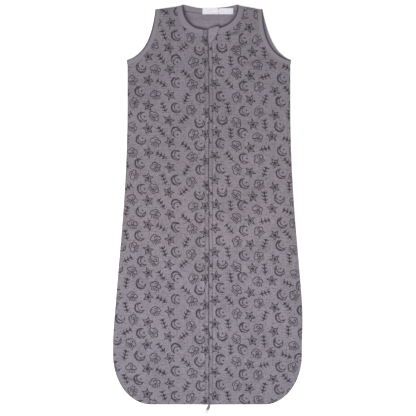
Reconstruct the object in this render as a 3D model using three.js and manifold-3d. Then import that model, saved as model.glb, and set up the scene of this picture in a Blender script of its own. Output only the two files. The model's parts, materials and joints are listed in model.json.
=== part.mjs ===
// Baby sleeping bag, sleeveless, lying on its back with the front zip closed.
// Millimetres. X runs across the bag, Y from the hem towards the neck, Z up from the floor.
// The bag is a shallow pillow, cut into the pieces that are sewn together, with a coil zip
// that closes downwards: its slider is parked at the hem, its pin and box are at the neck.
import * as THREE from "three";
import { mergeVertices } from "three/addons/utils/BufferGeometryUtils.js";
import Module from "manifold-3d";

const wasm = await Module();
wasm.setup();

// ---- Driving dimensions -------------------------------------------------------------

// Outline of the bag, laid flat.
const LENGTH = 899.5; // hem to the neck points
const HEM_FLAT_HALF = 128; // half of the straight stretch of the hem
const HEM_HALF = 213; // half width low down, the widest place
const CORNER_HEIGHT = 112; // height of the rounded hem corners
const FLARE_START = 165; // above this the sides draw in
const FLARE_END = 680; // above this the sides run straight
const FLARE_POWER = 0.75;
const CHEST_HALF = 183.5;
const SHOULDER_HALF = 120.5;
const SHOULDER_FALL = 8.7; // how far the shoulder tips lie below the neck points
const UNDERARM_DROP = 129; // underarm below the neck points
const ARM_TIP_LEAN = 4; // how far the armhole leans out below the shoulder tip
const ARM_TIP_REACH = 0.46; // share of its height that it keeps this lean for
const ARM_FOOT_REACH = 16; // how far out from the shoulder tip it turns towards the side
const ARM_FOOT_RISE = 12; // and how far above the underarm

// Neck.
const NECK_HALF = 61.5;
const FRONT_NECK_DEPTH = 55;
const BACK_NECK_DEPTH = 8.5;
const NECK_ROUNDNESS = 2.3;
const BACK_NECK_ROUNDNESS = 2;

// Thickness of the bag as it lies.
const HEM_RISE = 14; // top of the front at the hem
const NECK_RISE = 26; // top of the front at the neck
const SEAM_HEM = 7.2; // height of the side seam at the hem
const SEAM_NECK = 9.6; // height of the side seam at the neck
const TOP_ROLL = 90; // width of the front's rounding at each side
const BACK_ROLL = 20; // width of the back's rounding at each side
const HEM_ROLL = 5;
const SHOULDER_ROLL = 60;
const END_SHARE = 0.25; // share of the thickness that is left at the two ends

// Fabric layers.
const FACE = 1.8; // printed outer fabric
const LINING = 1.2;
const LAYER_GAP = 0.3;
const SEAM_GAP = 0.3;
const BINDING_PROUD = 0.5;
const NECK_BINDING = 13;
const ARM_BINDING = 11;

// Zip.
const SLIT_HALF = 1.3; // half of the slit between the two plackets
const PLACKET_HALF = 9.3; // centre line to the topstitching
const PLACKET = 1.2;
const FACE_EDGE = 6.6; // centre line to the cut edge of the outer fabric
const TAPE_INNER = 3.3;
const TAPE_OUTER = 15;
const TAPE = 0.8;
const COIL_HALF = 3; // centre line to the back of the coil
const COIL_HEIGHT = 2.2;
const COIL_PITCH = 5;
const TOOTH_WIDTH = 1.9;
const TOOTH_REACH = 0.6; // how far a tooth passes the centre line
const ZIP_START = 6.5; // hem to the first tooth
const PIN_LENGTH = 18;
const PIN_BELOW_NECK = 4; // the pins' ends below the neck edge
const PIN_INNER = 1.6;
const PIN_HEIGHT = 1.6;
const BOX_LENGTH = 8;
const BOX_WALL = 0.7;
const BOX_SLACK = 0.9; // above and below the pin

// Slider and pull.
const SLIDER_LENGTH = 12;
const SLIDER_FROM_HEM = 0.6;
const SLIDER_MOUTH_HALF = 4.6;
const SLIDER_TAIL_HALF = 4.1;
const SLIDER_PLATE = 1;
const SLIDER_CHANNEL = 2.8;
const SLIDER_MOUTH_ROUND = 2.4;
const SLIDER_TAIL_ROUND = 1;
const FLANGE_WIDTH = 0.75;
const FLANGE_DROP = 0.7;
const DIAMOND_HALF = 1.2;
const DIAMOND_LENGTH = 5;
const BRIDGE_HALF = 0.7;
const BRIDGE_LENGTH = 7;
const BRIDGE_BAR = 1;
const PULL_LENGTH = 20;
const PULL_HALF = 3;
const PULL_THICK = 1.3;
const PULL_LEAN = 19; // degrees to the left
const PULL_HOLE = 1.3;
const EYE_HALF = 2;
const EYE_BAR = 1;
const EYE_OPENING = 4.6;

// Chin guard and labels.
const GUARD_LEFT = 2.4;
const GUARD_RIGHT = 26.5;
const GUARD_HEIGHT = 33;
const GUARD_PEAK = 8; // how far its outer top corner stands above the inner one
const GUARD = 1.6;
const GUARD_CORNER = 3; // rounding of its outer top corner
const GUARD_BELLY = 6; // how far inside its outer edge the lower edge turns up
const LABEL = 0.8;
const LABEL_HEIGHT = 15.5;
const NECK_LABEL_WIDTH = 35;
const SIZE_LABEL_WIDTH = 28;
const LABELS_LEFT = -11.5;
const LABELS_BELOW_NECK = 7;

// Fold line of an opened front, from the hem beside the zip to the shoulder.
const FOLD_AT_HEM = 4;
const FOLD_BEYOND_BINDING = 3;

// ---- Values that follow -------------------------------------------------------------

const TALL = 200; // half height of every cutting block
const BEYOND = 80; // how far a cutting block passes the bag
const WELD = 1e-4; // points closer than this are one
const END_ALLOWANCE = 1; // bands and tapes stop this far inside the hem and the neck edge
const LINING_OUT = FACE + LAYER_GAP;
const LINING_IN = LINING_OUT + LINING;
const BINDING_IN = LINING_IN + BINDING_PROUD;
const UNDERARM = LENGTH - UNDERARM_DROP;
const TIP = LENGTH - SHOULDER_FALL;
const RISE_SLOPE = (NECK_RISE - HEM_RISE) / LENGTH;
const SEAM_SLOPE = (SEAM_NECK - SEAM_HEM) / LENGTH;
const FOLD_AT_NECK = NECK_HALF + NECK_BINDING + FOLD_BEYOND_BINDING;
const FOLD_SLOPE = (FOLD_AT_NECK - FOLD_AT_HEM) / LENGTH;
const ZIP_DEPTH = LINING_OUT + TAPE / 2; // middle of the tape below the outer fabric's top
const PLACKET_LIFT = LAYER_GAP; // the placket lies on the outer fabric
const PLACKET_TOP = PLACKET_LIFT + PLACKET;
const NECK_EDGE = LENGTH - FRONT_NECK_DEPTH;
const ZIP_END = NECK_EDGE - PIN_BELOW_NECK - PIN_LENGTH; // end of the teeth

// ---- Solids and booleans ------------------------------------------------------------

// A closed geometry as a manifold solid.
function solidFrom(geometry) {
  const bare = geometry.clone();
  bare.deleteAttribute("normal");
  bare.deleteAttribute("uv");
  const merged = mergeVertices(bare, WELD);
  const vertProperties = merged.attributes.position.array;
  const triVerts = new Uint32Array(merged.index.array);
  return new wasm.Manifold(new wasm.Mesh({ numProp: 3, vertProperties, triVerts }));
}

function geometryFrom(solid) {
  const { vertProperties, triVerts } = solid.getMesh();
  const geometry = new THREE.BufferGeometry();
  geometry.setAttribute("position", new THREE.BufferAttribute(vertProperties, 3));
  geometry.setIndex(new THREE.BufferAttribute(triVerts, 1));
  geometry.computeVertexNormals();
  return geometry;
}

// A flat outline, raised from one height to another.
function slab(points, low, high) {
  const shape = points instanceof THREE.Shape ? points : new THREE.Shape(points);
  const geometry = new THREE.ExtrudeGeometry(shape, {
    depth: high - low,
    bevelEnabled: false,
    curveSegments: 6,
  });
  return geometry.translate(0, 0, low);
}

const cutter = (points) => solidFrom(slab(points, -TALL, TALL));

const point = (x, y) => new THREE.Vector2(x, y);

function block(x0, x1, y0, y1, z0, z1) {
  const geometry = new THREE.BoxGeometry(x1 - x0, y1 - y0, z1 - z0);
  return geometry.translate((x0 + x1) / 2, (y0 + y1) / 2, (z0 + z1) / 2);
}

const union = (geometries) => geometries.map(solidFrom).reduce((a, b) => a.add(b));

// Left and right are those of a viewer of the front, with the hem towards them.
const mirrored = (points) => points.map((p) => point(-p.x, p.y)).reverse();

// A left-hand piece from a right-hand one.
function mirrorImage(shape) {
  const twin = geometryFrom(shape.isBufferGeometry ? solidFrom(shape) : shape);
  twin.scale(-1, 1, 1);
  const corners = twin.index.array;
  for (let i = 0; i < corners.length; i += 3) {
    [corners[i + 1], corners[i + 2]] = [corners[i + 2], corners[i + 1]];
  }
  twin.computeVertexNormals();
  return twin;
}

// ---- The pillow form ----------------------------------------------------------------

const riseAt = (y) => HEM_RISE + RISE_SLOPE * y;
const seamAt = (y) => SEAM_HEM + SEAM_SLOPE * y;

// Half width of the bag at a height above the hem, drawn in by an inset.
function halfWidth(y, inset) {
  if (y < CORNER_HEIGHT) {
    const climb = Math.min(1, (CORNER_HEIGHT - y) / (CORNER_HEIGHT - inset));
    return HEM_FLAT_HALF + (HEM_HALF - HEM_FLAT_HALF - inset) * Math.sqrt(1 - climb * climb);
  }
  const along = THREE.MathUtils.clamp((y - FLARE_START) / (FLARE_END - FLARE_START), 0, 1);
  const ease = 0.5 + 0.5 * Math.cos(Math.PI * along ** FLARE_POWER);
  return CHEST_HALF + (HEM_HALF - CHEST_HALF) * ease - inset;
}

// Heights above the hem at which the form is sectioned, each with its share of thickness.
function sections(inset) {
  const endAngle = Math.acos(END_SHARE);
  const rows = [];
  const roll = (steps, place) => {
    for (let i = 0; i <= steps; i++) {
      const angle = (endAngle * i) / steps;
      rows.push({ y: place(Math.sin(angle) / Math.sin(endAngle)), share: Math.cos(angle) });
    }
  };
  roll(2, (out) => inset + HEM_ROLL * (1 - out));
  for (let i = 2; i <= 6; i++) {
    const y = CORNER_HEIGHT * (1 - Math.cos((Math.PI / 2) * (i / 6)));
    rows.push({ y: Math.max(y, inset + HEM_ROLL + i), share: 1 });
  }
  for (let i = 0; i <= 7; i++) {
    rows.push({ y: FLARE_START + ((FLARE_END - FLARE_START) * i) / 7, share: 1 });
  }
  roll(5, (out) => LENGTH - inset - SHOULDER_ROLL * (1 - out));
  return rows.sort((a, b) => a.y - b.y);
}

// One closed loop of points around the bag, seen from the neck. Each side has a point straight
// below the neck point, or further in where the flat middle is narrower than the neck.
function sectionLoop({ y, share }, inset) {
  const half = halfWidth(y, inset);
  const neckward = Math.min(NECK_HALF, 0.8 * (half - TOP_ROLL));
  const right = [];
  const fall = SHOULDER_FALL / (SHOULDER_HALF - NECK_HALF);
  const shear = THREE.MathUtils.smoothstep(y, UNDERARM, LENGTH - SHOULDER_ROLL);
  const place = (x, lift) => {
    const back = y - shear * fall * Math.max(0, x - NECK_HALF);
    const seam = seamAt(back);
    const thick = lift > 0 ? riseAt(back) - inset - seam : seam - Math.min(inset, seam - 0.5);
    return new THREE.Vector3(x, back, seam + (inset < 0 && lift < 0 ? seam : thick) * lift * share);
  };
  right.push(place(neckward, -1));
  for (let i = 0; i <= 3; i++) {
    const angle = (Math.PI / 2) * (1 - i / 3);
    right.push(place(half - (BACK_ROLL - inset) * (1 - Math.cos(angle)), -Math.sin(angle)));
  }
  for (let i = 1; i <= 6; i++) {
    const angle = (Math.PI / 2) * (i / 6);
    right.push(place(half - (TOP_ROLL - inset) * (1 - Math.cos(angle)), Math.sin(angle)));
  }
  right.push(place(neckward, 1));
  const left = right.map((p) => new THREE.Vector3(-p.x, p.y, p.z)).reverse();
  return [...right, ...left];
}

// Closes an end of the form with a fan at each side and a flat stretch between the fans.
function endCap(loops, row, positions, index) {
  const loop = loops[row];
  const around = loop.length;
  const top = around / 2;
  const base = row * around;
  const right = positions.length / 3;
  const left = right + 1;
  const seam = seamAt(loop[0].y);
  positions.push(loop[0].x, loop[0].y, seam, -loop[0].x, loop[0].y, seam);
  const faces = [];
  for (let i = 0; i < around - 1; i++) {
    faces.push([i < top ? right : left, base + i, base + i + 1]);
  }
  faces.push([right, base + top, left]);
  faces.push([left, base + around - 1, base], [left, base, right]);
  for (const [a, b, c] of faces) {
    index.push(...(row ? [a, c, b] : [a, b, c]));
  }
}

// The whole bag as one solid, every face moved in by the inset.
function bagForm(inset) {
  const loops = sections(inset).map((row) => sectionLoop(row, inset));
  const around = loops[0].length;
  const positions = loops.flat().flatMap((p) => [p.x, p.y, p.z]);
  const index = [];
  for (let k = 0; k + 1 < loops.length; k++) {
    for (let i = 0; i < around; i++) {
      const j = (i + 1) % around;
      const [a, b] = [k * around + i, k * around + j];
      index.push(a, a + around, b, b, a + around, b + around);
    }
  }
  endCap(loops, 0, positions, index);
  endCap(loops, loops.length - 1, positions, index);
  const geometry = new THREE.BufferGeometry();
  geometry.setAttribute("position", new THREE.Float32BufferAttribute(positions, 3));
  geometry.setIndex(index);
  return solidFrom(geometry);
}

const shell = (outer, inner) => bagForm(outer).subtract(bagForm(inner));

// The front lies above the side seam, the back below it.
function halfSpace(front) {
  const clear = front ? SEAM_GAP / 2 : -SEAM_GAP / 2;
  const far = front ? TALL : -TALL;
  const low = -BEYOND;
  const high = LENGTH + BEYOND;
  const profile = [
    point(low, seamAt(low) + clear),
    point(high, seamAt(high) + clear),
    point(high, far),
    point(low, far),
  ];
  if (!front) profile.reverse();
  const sheet = slab(profile, -HEM_HALF - BEYOND, HEM_HALF + BEYOND);
  sheet.rotateX(Math.PI / 2).rotateZ(Math.PI / 2);
  return solidFrom(sheet);
}

// ---- Cutting outlines ---------------------------------------------------------------

// A half superellipse hanging from the neck points, closed above the bag.
function neckOutline(halfAcross, depth, roundness) {
  const outline = [];
  for (let i = 0; i <= 20; i++) {
    const angle = Math.PI * (1 + i / 20);
    const [c, s] = [Math.cos(angle), Math.sin(angle)];
    const x = halfAcross * Math.sign(c) * Math.abs(c) ** (2 / roundness);
    const y = depth * Math.sign(s) * Math.abs(s) ** (2 / roundness);
    outline.push(point(x, LENGTH + y));
  }
  outline.push(point(halfAcross, LENGTH + BEYOND), point(-halfAcross, LENGTH + BEYOND));
  return outline;
}

const frontNeck = (grown) =>
  neckOutline(NECK_HALF + grown, FRONT_NECK_DEPTH + grown, NECK_ROUNDNESS);
const backNeck = (grown) =>
  neckOutline(NECK_HALF + grown, BACK_NECK_DEPTH + grown, BACK_NECK_ROUNDNESS);

// The armhole's edge from the shoulder tip to the underarm, moved into the bag.
function armholeEdge(grown) {
  const underarmHalf = halfWidth(UNDERARM, 0) + 2;
  const edge = new THREE.CubicBezierCurve(
    point(SHOULDER_HALF, TIP),
    point(SHOULDER_HALF + ARM_TIP_LEAN, TIP - (TIP - UNDERARM) * ARM_TIP_REACH),
    point(SHOULDER_HALF + ARM_FOOT_REACH, UNDERARM + ARM_FOOT_RISE),
    point(underarmHalf, UNDERARM),
  );
  return edge.getPoints(14).map((p, i) => {
    const along = edge.getTangent(i / 14);
    return point(p.x + along.y * grown, p.y - along.x * grown);
  });
}

// All that lies outside the armhole's edge.
function armholeOutline(grown) {
  const edge = armholeEdge(grown);
  const last = edge[edge.length - 1];
  return [
    point(edge[0].x, LENGTH + BEYOND),
    ...edge,
    point(last.x + BEYOND, last.y),
    point(last.x + BEYOND, LENGTH + BEYOND),
  ];
}

// Where the right front's fold line lies at a height, and the height at which it lies there.
const foldAcross = (y) => FOLD_AT_HEM + FOLD_SLOPE * y;
const foldHeight = (x) => (x - FOLD_AT_HEM) / FOLD_SLOPE;

// The part of the right front that stays when the bag is opened, beyond the fold and the edge.
function stayOutline(edge) {
  const high = LENGTH + BEYOND;
  const far = HEM_HALF + BEYOND;
  const clear = SEAM_GAP / 2;
  return [
    point(edge, -BEYOND),
    point(far, -BEYOND),
    point(far, high),
    point(foldAcross(high) + clear, high),
    point(edge, foldHeight(edge - clear)),
  ];
}

// The part of the right front that folds open, between the edge and the fold.
function openOutline(edge) {
  const high = LENGTH + BEYOND;
  const clear = SEAM_GAP / 2;
  return [
    point(edge, foldHeight(edge + clear)),
    point(foldAcross(high) - clear, high),
    point(edge, high),
  ];
}

const strip = (from, to) => [
  point(from, -BEYOND),
  point(to, -BEYOND),
  point(to, LENGTH + BEYOND),
  point(from, LENGTH + BEYOND),
];

// ---- Sewn shells --------------------------------------------------------------------

const frontSpace = halfSpace(true);
const backSpace = halfSpace(false);
const neckCut = cutter(frontNeck(NECK_BINDING + SEAM_GAP));
const backNeckCut = cutter(backNeck(NECK_BINDING + SEAM_GAP));
const armOutline = armholeOutline(ARM_BINDING + SEAM_GAP);
const armCut = cutter(armOutline);
const leftArmCut = cutter(mirrored(armOutline));

const cutAll = (solid, cuts) => cuts.reduce((left, cut) => left.subtract(cut), solid);

// A right front piece, cut at the fold into the part that stays and the part that opens.
const foldable = (solid, edge) => ({
  stay: solid.intersect(cutter(stayOutline(edge))),
  open: solid.intersect(cutter(openOutline(edge))),
});

// One layer of the bag: its back and the two parts of a front, from the edge beside the zip.
function sewnLayer(layer, edge) {
  const front = cutAll(layer.intersect(frontSpace), [neckCut, armCut]);
  const back = cutAll(layer.intersect(backSpace), [backNeckCut, armCut, leftArmCut]);
  return { back, ...foldable(front, edge) };
}

const faceLayer = sewnLayer(shell(0, FACE), FACE_EDGE);
const liningLayer = sewnLayer(shell(LINING_OUT, LINING_IN), TAPE_OUTER + SEAM_GAP);
const bindingLayer = shell(-BINDING_PROUD, BINDING_IN);

// The ribbed strip that wraps one front neck edge, from the placket to the shoulder.
function frontNeckBinding() {
  const ring = cutter(frontNeck(NECK_BINDING)).subtract(cutter(frontNeck(0)));
  const reach = cutter(strip(PLACKET_HALF + SEAM_GAP, NECK_HALF + NECK_BINDING));
  return bindingLayer.intersect(frontSpace).intersect(ring).intersect(reach);
}

function backNeckBinding() {
  const ring = cutter(backNeck(NECK_BINDING)).subtract(cutter(backNeck(0)));
  return bindingLayer.intersect(backSpace).intersect(ring);
}

// One ring around an armhole, front and back edge in one strip.
function armholeBinding() {
  const ring = cutter(armholeOutline(ARM_BINDING)).subtract(cutter(armholeOutline(0)));
  return bindingLayer.intersect(ring);
}

// A woven label, lying on the back neck binding and the lining.
function label(from, width) {
  const top = LENGTH - LABELS_BELOW_NECK;
  const cut = solidFrom(block(from, from + width, top - LABEL_HEIGHT, top, -TALL, TALL));
  const lift = BINDING_IN + LAYER_GAP;
  return shell(lift, lift + LABEL).intersect(backSpace).intersect(cut);
}

// ---- Zip, in the plane of the front: Y along the zip, Z = 0 on the outer fabric --------

// The folded edge of the outer fabric that covers the zip, with its topstitching.
const placketStrip = () =>
  solidFrom(
    block(
      SLIT_HALF,
      PLACKET_HALF,
      END_ALLOWANCE,
      NECK_EDGE - END_ALLOWANCE,
      PLACKET_LIFT,
      PLACKET_TOP,
    ),
  );

// The woven tape, narrowed at the neck, where the binding and the pins take its place.
function tapeStrip() {
  const shoulder = NECK_EDGE - NECK_BINDING - SEAM_GAP;
  const beside = COIL_HALF + BOX_WALL + LAYER_GAP;
  const outline = [
    point(TAPE_INNER, ZIP_START),
    point(TAPE_OUTER, ZIP_START),
    point(TAPE_OUTER, shoulder),
    point(PLACKET_HALF, shoulder),
    point(PLACKET_HALF, NECK_EDGE - END_ALLOWANCE),
    point(beside, NECK_EDGE - END_ALLOWANCE),
    point(beside, ZIP_END),
    point(TAPE_INNER, ZIP_END),
  ];
  return solidFrom(slab(outline, -ZIP_DEPTH - TAPE / 2, -ZIP_DEPTH + TAPE / 2));
}

// Half a zip chain: a spine with a tooth at every pitch, from a first tooth.
function coil(start) {
  const teeth = Math.floor((ZIP_END - ZIP_START) / COIL_PITCH - 0.5);
  const spine = COIL_HALF * 0.55;
  const outline = [point(COIL_HALF, ZIP_START), point(COIL_HALF, ZIP_END - 0.5)];
  outline.push(point(spine, ZIP_END - 0.5));
  for (let i = teeth - 1; i >= 0; i--) {
    const y = start + COIL_PITCH * i + 0.5;
    outline.push(point(spine, y + TOOTH_WIDTH), point(-TOOTH_REACH, y + TOOTH_WIDTH));
    outline.push(point(-TOOTH_REACH, y), point(spine, y));
  }
  outline.push(point(spine, ZIP_START));
  return slab(outline, -ZIP_DEPTH - COIL_HEIGHT / 2, -ZIP_DEPTH + COIL_HEIGHT / 2);
}

const pin = () =>
  block(
    PIN_INNER,
    COIL_HALF,
    ZIP_END,
    ZIP_END + PIN_LENGTH,
    -ZIP_DEPTH - PIN_HEIGHT / 2,
    -ZIP_DEPTH + PIN_HEIGHT / 2,
  );

// The box holds the fixed pin and has a socket, open at its side, for the other one.
function retainerBox() {
  const y1 = ZIP_END + PIN_LENGTH + BOX_WALL + LAYER_GAP;
  const y0 = y1 - BOX_LENGTH;
  const inside = PIN_HEIGHT / 2 + BOX_SLACK;
  const outside = inside + BOX_WALL;
  const left = -(PIN_INNER + COIL_HALF) / 2;
  const right = COIL_HALF + BOX_WALL;
  const socketRight = PIN_INNER - BOX_WALL - LAYER_GAP;
  const body = block(left, right, y0, y1, -outside, outside);
  const socket = block(-COIL_HALF, socketRight, y0 - 1, y1 - BOX_WALL, -inside, inside);
  const [shell, hollow] = [body, socket].map((b) => solidFrom(b.translate(0, 0, -ZIP_DEPTH)));
  return shell.subtract(hollow).add(solidFrom(pin()));
}

// ---- Slider, centred on its own origin, mouth towards the hem ---------------------------

// Its outline from above: a wide rounded mouth that narrows to the tail.
function sliderOutline() {
  const end = SLIDER_LENGTH / 2;
  const mouth = SLIDER_MOUTH_HALF;
  const tail = SLIDER_TAIL_HALF;
  const shape = new THREE.Shape();
  const nose = SLIDER_MOUTH_ROUND;
  const heel = SLIDER_TAIL_ROUND;
  shape.moveTo(-tail + heel, end);
  shape.quadraticCurveTo(-tail, end, -tail, end - heel);
  shape.lineTo(-tail, 1);
  shape.quadraticCurveTo(-mouth, -1, -mouth, -end + nose);
  shape.quadraticCurveTo(-mouth, -end, -mouth + nose, -end);
  shape.lineTo(mouth - nose, -end);
  shape.quadraticCurveTo(mouth, -end, mouth, -end + nose);
  shape.quadraticCurveTo(mouth, -1, tail, 1);
  shape.lineTo(tail, end - heel);
  shape.quadraticCurveTo(tail, end, tail - heel, end);
  return shape;
}

// The post that parts the two rows of teeth.
function diamondOutline() {
  const y0 = -SLIDER_LENGTH / 2 + 0.4;
  const shape = new THREE.Shape();
  shape.moveTo(0, y0 + DIAMOND_LENGTH);
  shape.quadraticCurveTo(-DIAMOND_HALF, y0 + DIAMOND_LENGTH / 2, -DIAMOND_HALF, y0 + 1);
  shape.quadraticCurveTo(0, y0 - 0.6, DIAMOND_HALF, y0 + 1);
  shape.quadraticCurveTo(DIAMOND_HALF, y0 + DIAMOND_LENGTH / 2, 0, y0 + DIAMOND_LENGTH);
  return shape;
}

// The lips on a plate's two edges that hold the chain in, open at the mouth.
function flanges(z0, z1) {
  const rim = solidFrom(slab(sliderOutline(), z0, z1));
  const inner = SLIDER_TAIL_HALF - FLANGE_WIDTH;
  const open = solidFrom(block(-TALL, TALL, -TALL, -1, -TALL, TALL));
  return rim.subtract(solidFrom(block(-inner, inner, -TALL, TALL, -TALL, TALL))).subtract(open);
}

// An arch with two legs on the top plate, standing up through the slit, that carries the pull.
function bridge() {
  const foot = SLIDER_CHANNEL / 2 + SLIDER_PLATE - 0.2;
  const crown = ZIP_DEPTH + PLACKET_TOP + PULL_THICK + 3 * LAYER_GAP + BRIDGE_BAR;
  const half = BRIDGE_LENGTH / 2;
  const inner = half - BRIDGE_BAR;
  const ceiling = crown - BRIDGE_BAR;
  const shape = new THREE.Shape();
  shape.moveTo(-half, foot);
  shape.lineTo(-inner, foot);
  shape.lineTo(-inner, ceiling - 1);
  shape.lineTo(-inner + 1, ceiling);
  shape.lineTo(inner - 1, ceiling);
  shape.lineTo(inner, ceiling - 1);
  shape.lineTo(inner, foot);
  shape.lineTo(half, foot);
  shape.lineTo(half, ceiling - 1);
  shape.quadraticCurveTo(half, crown, half - 2, crown);
  shape.lineTo(-half + 2, crown);
  shape.quadraticCurveTo(-half, crown, -half, ceiling - 1);
  const arch = slab(shape, -BRIDGE_HALF, BRIDGE_HALF);
  return arch.rotateX(Math.PI / 2).rotateZ(Math.PI / 2);
}

function sliderBody() {
  const inside = SLIDER_CHANNEL / 2;
  const outside = inside + SLIDER_PLATE;
  const plates = [
    slab(sliderOutline(), inside, outside),
    slab(sliderOutline(), -outside, -inside),
    slab(diamondOutline(), -inside - 0.1, inside + 0.1),
    bridge(),
  ];
  return union(plates)
    .add(flanges(inside - FLANGE_DROP, inside + 0.1))
    .add(flanges(-inside - 0.1, -inside + FLANGE_DROP));
}

// The pull: an eye around the bridge and a flat tab with a rounded, pierced end.
// Its hinge line is the eye's crossbar, at the origin, and it lies towards -Y.
function pullTab() {
  const eye = new THREE.Shape([
    point(-EYE_HALF, EYE_BAR / 2),
    point(EYE_HALF, EYE_BAR / 2),
    point(EYE_HALF, -EYE_OPENING - 1.5 * EYE_BAR),
    point(-EYE_HALF, -EYE_OPENING - 1.5 * EYE_BAR),
  ].reverse());
  const opening = BRIDGE_HALF + LAYER_GAP;
  eye.holes.push(
    new THREE.Path([
      point(-opening, -EYE_BAR / 2),
      point(opening, -EYE_BAR / 2),
      point(opening, -EYE_OPENING - EYE_BAR / 2),
      point(-opening, -EYE_OPENING - EYE_BAR / 2),
    ]),
  );
  const tab = new THREE.Shape();
  const tip = -(PULL_LENGTH - EYE_OPENING - EYE_BAR - PULL_HALF);
  tab.moveTo(-EYE_HALF * 0.8, 0);
  tab.quadraticCurveTo(-PULL_HALF * 0.7, -3, -PULL_HALF, tip);
  tab.absarc(0, tip, PULL_HALF, Math.PI, 2 * Math.PI, false);
  tab.quadraticCurveTo(PULL_HALF * 0.7, -3, EYE_HALF * 0.8, 0);
  tab.holes.push(new THREE.Path().absarc(0, tip, PULL_HOLE, 0, 2 * Math.PI, true));
  const half = PULL_THICK / 2;
  const blade = slab(tab, -half, half);
  blade.rotateZ(THREE.MathUtils.degToRad(-PULL_LEAN)).translate(0, -EYE_OPENING - EYE_BAR, 0);
  return union([slab(eye, -half, half), blade]);
}

// A leaf of folded fabric beside the slit, straight along the zip and rounded outside.
function chinGuard() {
  const top = NECK_EDGE;
  const low = top - GUARD_HEIGHT;
  const shape = new THREE.Shape();
  shape.moveTo(GUARD_LEFT, low);
  const peak = top + GUARD_PEAK;
  shape.quadraticCurveTo(GUARD_RIGHT - GUARD_BELLY, low + 4, GUARD_RIGHT, peak - GUARD_CORNER);
  shape.quadraticCurveTo(GUARD_RIGHT, peak, GUARD_RIGHT - GUARD_CORNER, peak);
  shape.lineTo(GUARD_LEFT, top);
  const lift = PLACKET_TOP + 0.5;
  return slab(shape, lift, lift + GUARD);
}

// ---- Scene graph --------------------------------------------------------------------

const FINISHES = {
  face: { color: 0x8b8289, roughness: 0.95, metalness: 0 },
  lining: { color: 0x877d89, roughness: 0.95, metalness: 0 },
  rib: { color: 0x837a84, roughness: 0.95, metalness: 0 },
  satin: { color: 0xe8e6ea, roughness: 0.5, metalness: 0 },
  tape: { color: 0x7a737c, roughness: 0.9, metalness: 0 },
  coil: { color: 0x716a73, roughness: 0.6, metalness: 0 },
  metal: { color: 0x9a99a0, roughness: 0.35, metalness: 0.9 },
};

const bag = new THREE.Group();
const zipPlane = new THREE.Group();
zipPlane.position.z = HEM_RISE;
zipPlane.rotation.x = Math.atan(RISE_SLOPE);
bag.add(zipPlane);

function add(parent, name, finish, shape) {
  const geometry = shape.isBufferGeometry ? shape : geometryFrom(shape);
  const mesh = new THREE.Mesh(geometry, new THREE.MeshStandardMaterial(FINISHES[finish]));
  mesh.name = name;
  parent.add(mesh);
  return mesh;
}

add(bag, "back_panel", "face", faceLayer.back);
add(bag, "back_lining", "lining", liningLayer.back);
add(bag, "neck_binding_back", "rib", backNeckBinding());
add(bag, "neck_label", "satin", label(LABELS_LEFT, NECK_LABEL_WIDTH));
add(bag, "size_label", "satin", label(LABELS_LEFT + NECK_LABEL_WIDTH + SEAM_GAP, SIZE_LABEL_WIDTH));

// Pieces that come in pairs, drawn for the right side.
const placket = foldable(placketStrip(), SLIT_HALF);
const tape = foldable(tapeStrip(), TAPE_INNER);
const pairs = [
  [bag, "front_panel_", "face", faceLayer.stay],
  [bag, "front_lining_", "lining", liningLayer.stay],
  [bag, "front_lapel_", "face", faceLayer.open],
  [bag, "lapel_lining_", "lining", liningLayer.open],
  [bag, "neck_binding_", "rib", frontNeckBinding()],
  [bag, "armhole_binding_", "rib", armholeBinding()],
  [zipPlane, "placket_", "face", placket.open],
  [zipPlane, "placket_foot_", "face", placket.stay],
  [zipPlane, "zip_tape_", "tape", tape.open],
  [zipPlane, "tape_foot_", "tape", tape.stay],
];
for (const [parent, name, finish, shape] of pairs) {
  add(parent, name + "right", finish, shape);
  add(parent, name + "left", finish, mirrorImage(shape));
}

// The teeth of the two sides lie half a pitch apart.
add(zipPlane, "zip_coil_right", "coil", coil(ZIP_START + COIL_PITCH / 2));
add(zipPlane, "zip_coil_left", "coil", mirrorImage(coil(ZIP_START)));
add(zipPlane, "insertion_pin", "metal", mirrorImage(pin()));
add(zipPlane, "retainer_box", "metal", retainerBox());
add(zipPlane, "chin_guard", "lining", chinGuard());

const slider = add(zipPlane, "slider_body", "metal", sliderBody());
slider.position.set(0, SLIDER_FROM_HEM + SLIDER_LENGTH / 2, -ZIP_DEPTH);
const pull = add(zipPlane, "pull_tab", "metal", pullTab());
pull.position.set(0, slider.position.y - 1, PLACKET_TOP + LAYER_GAP + PULL_THICK / 2);

// The frame's origin is under the middle of the whole bag, on the floor.
const bounds = new THREE.Box3().setFromObject(bag, true);
bag.position.y = -(bounds.min.y + bounds.max.y) / 2;
bag.position.x = -(bounds.min.x + bounds.max.x) / 2;
bag.position.z = -bounds.min.z;

export default bag;
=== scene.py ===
# A sleeveless baby sleeping bag, lying on its back with the front zip closed.
# Metres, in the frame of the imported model: X across the bag, Y from hem to neck, Z up.
import json
import math

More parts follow.
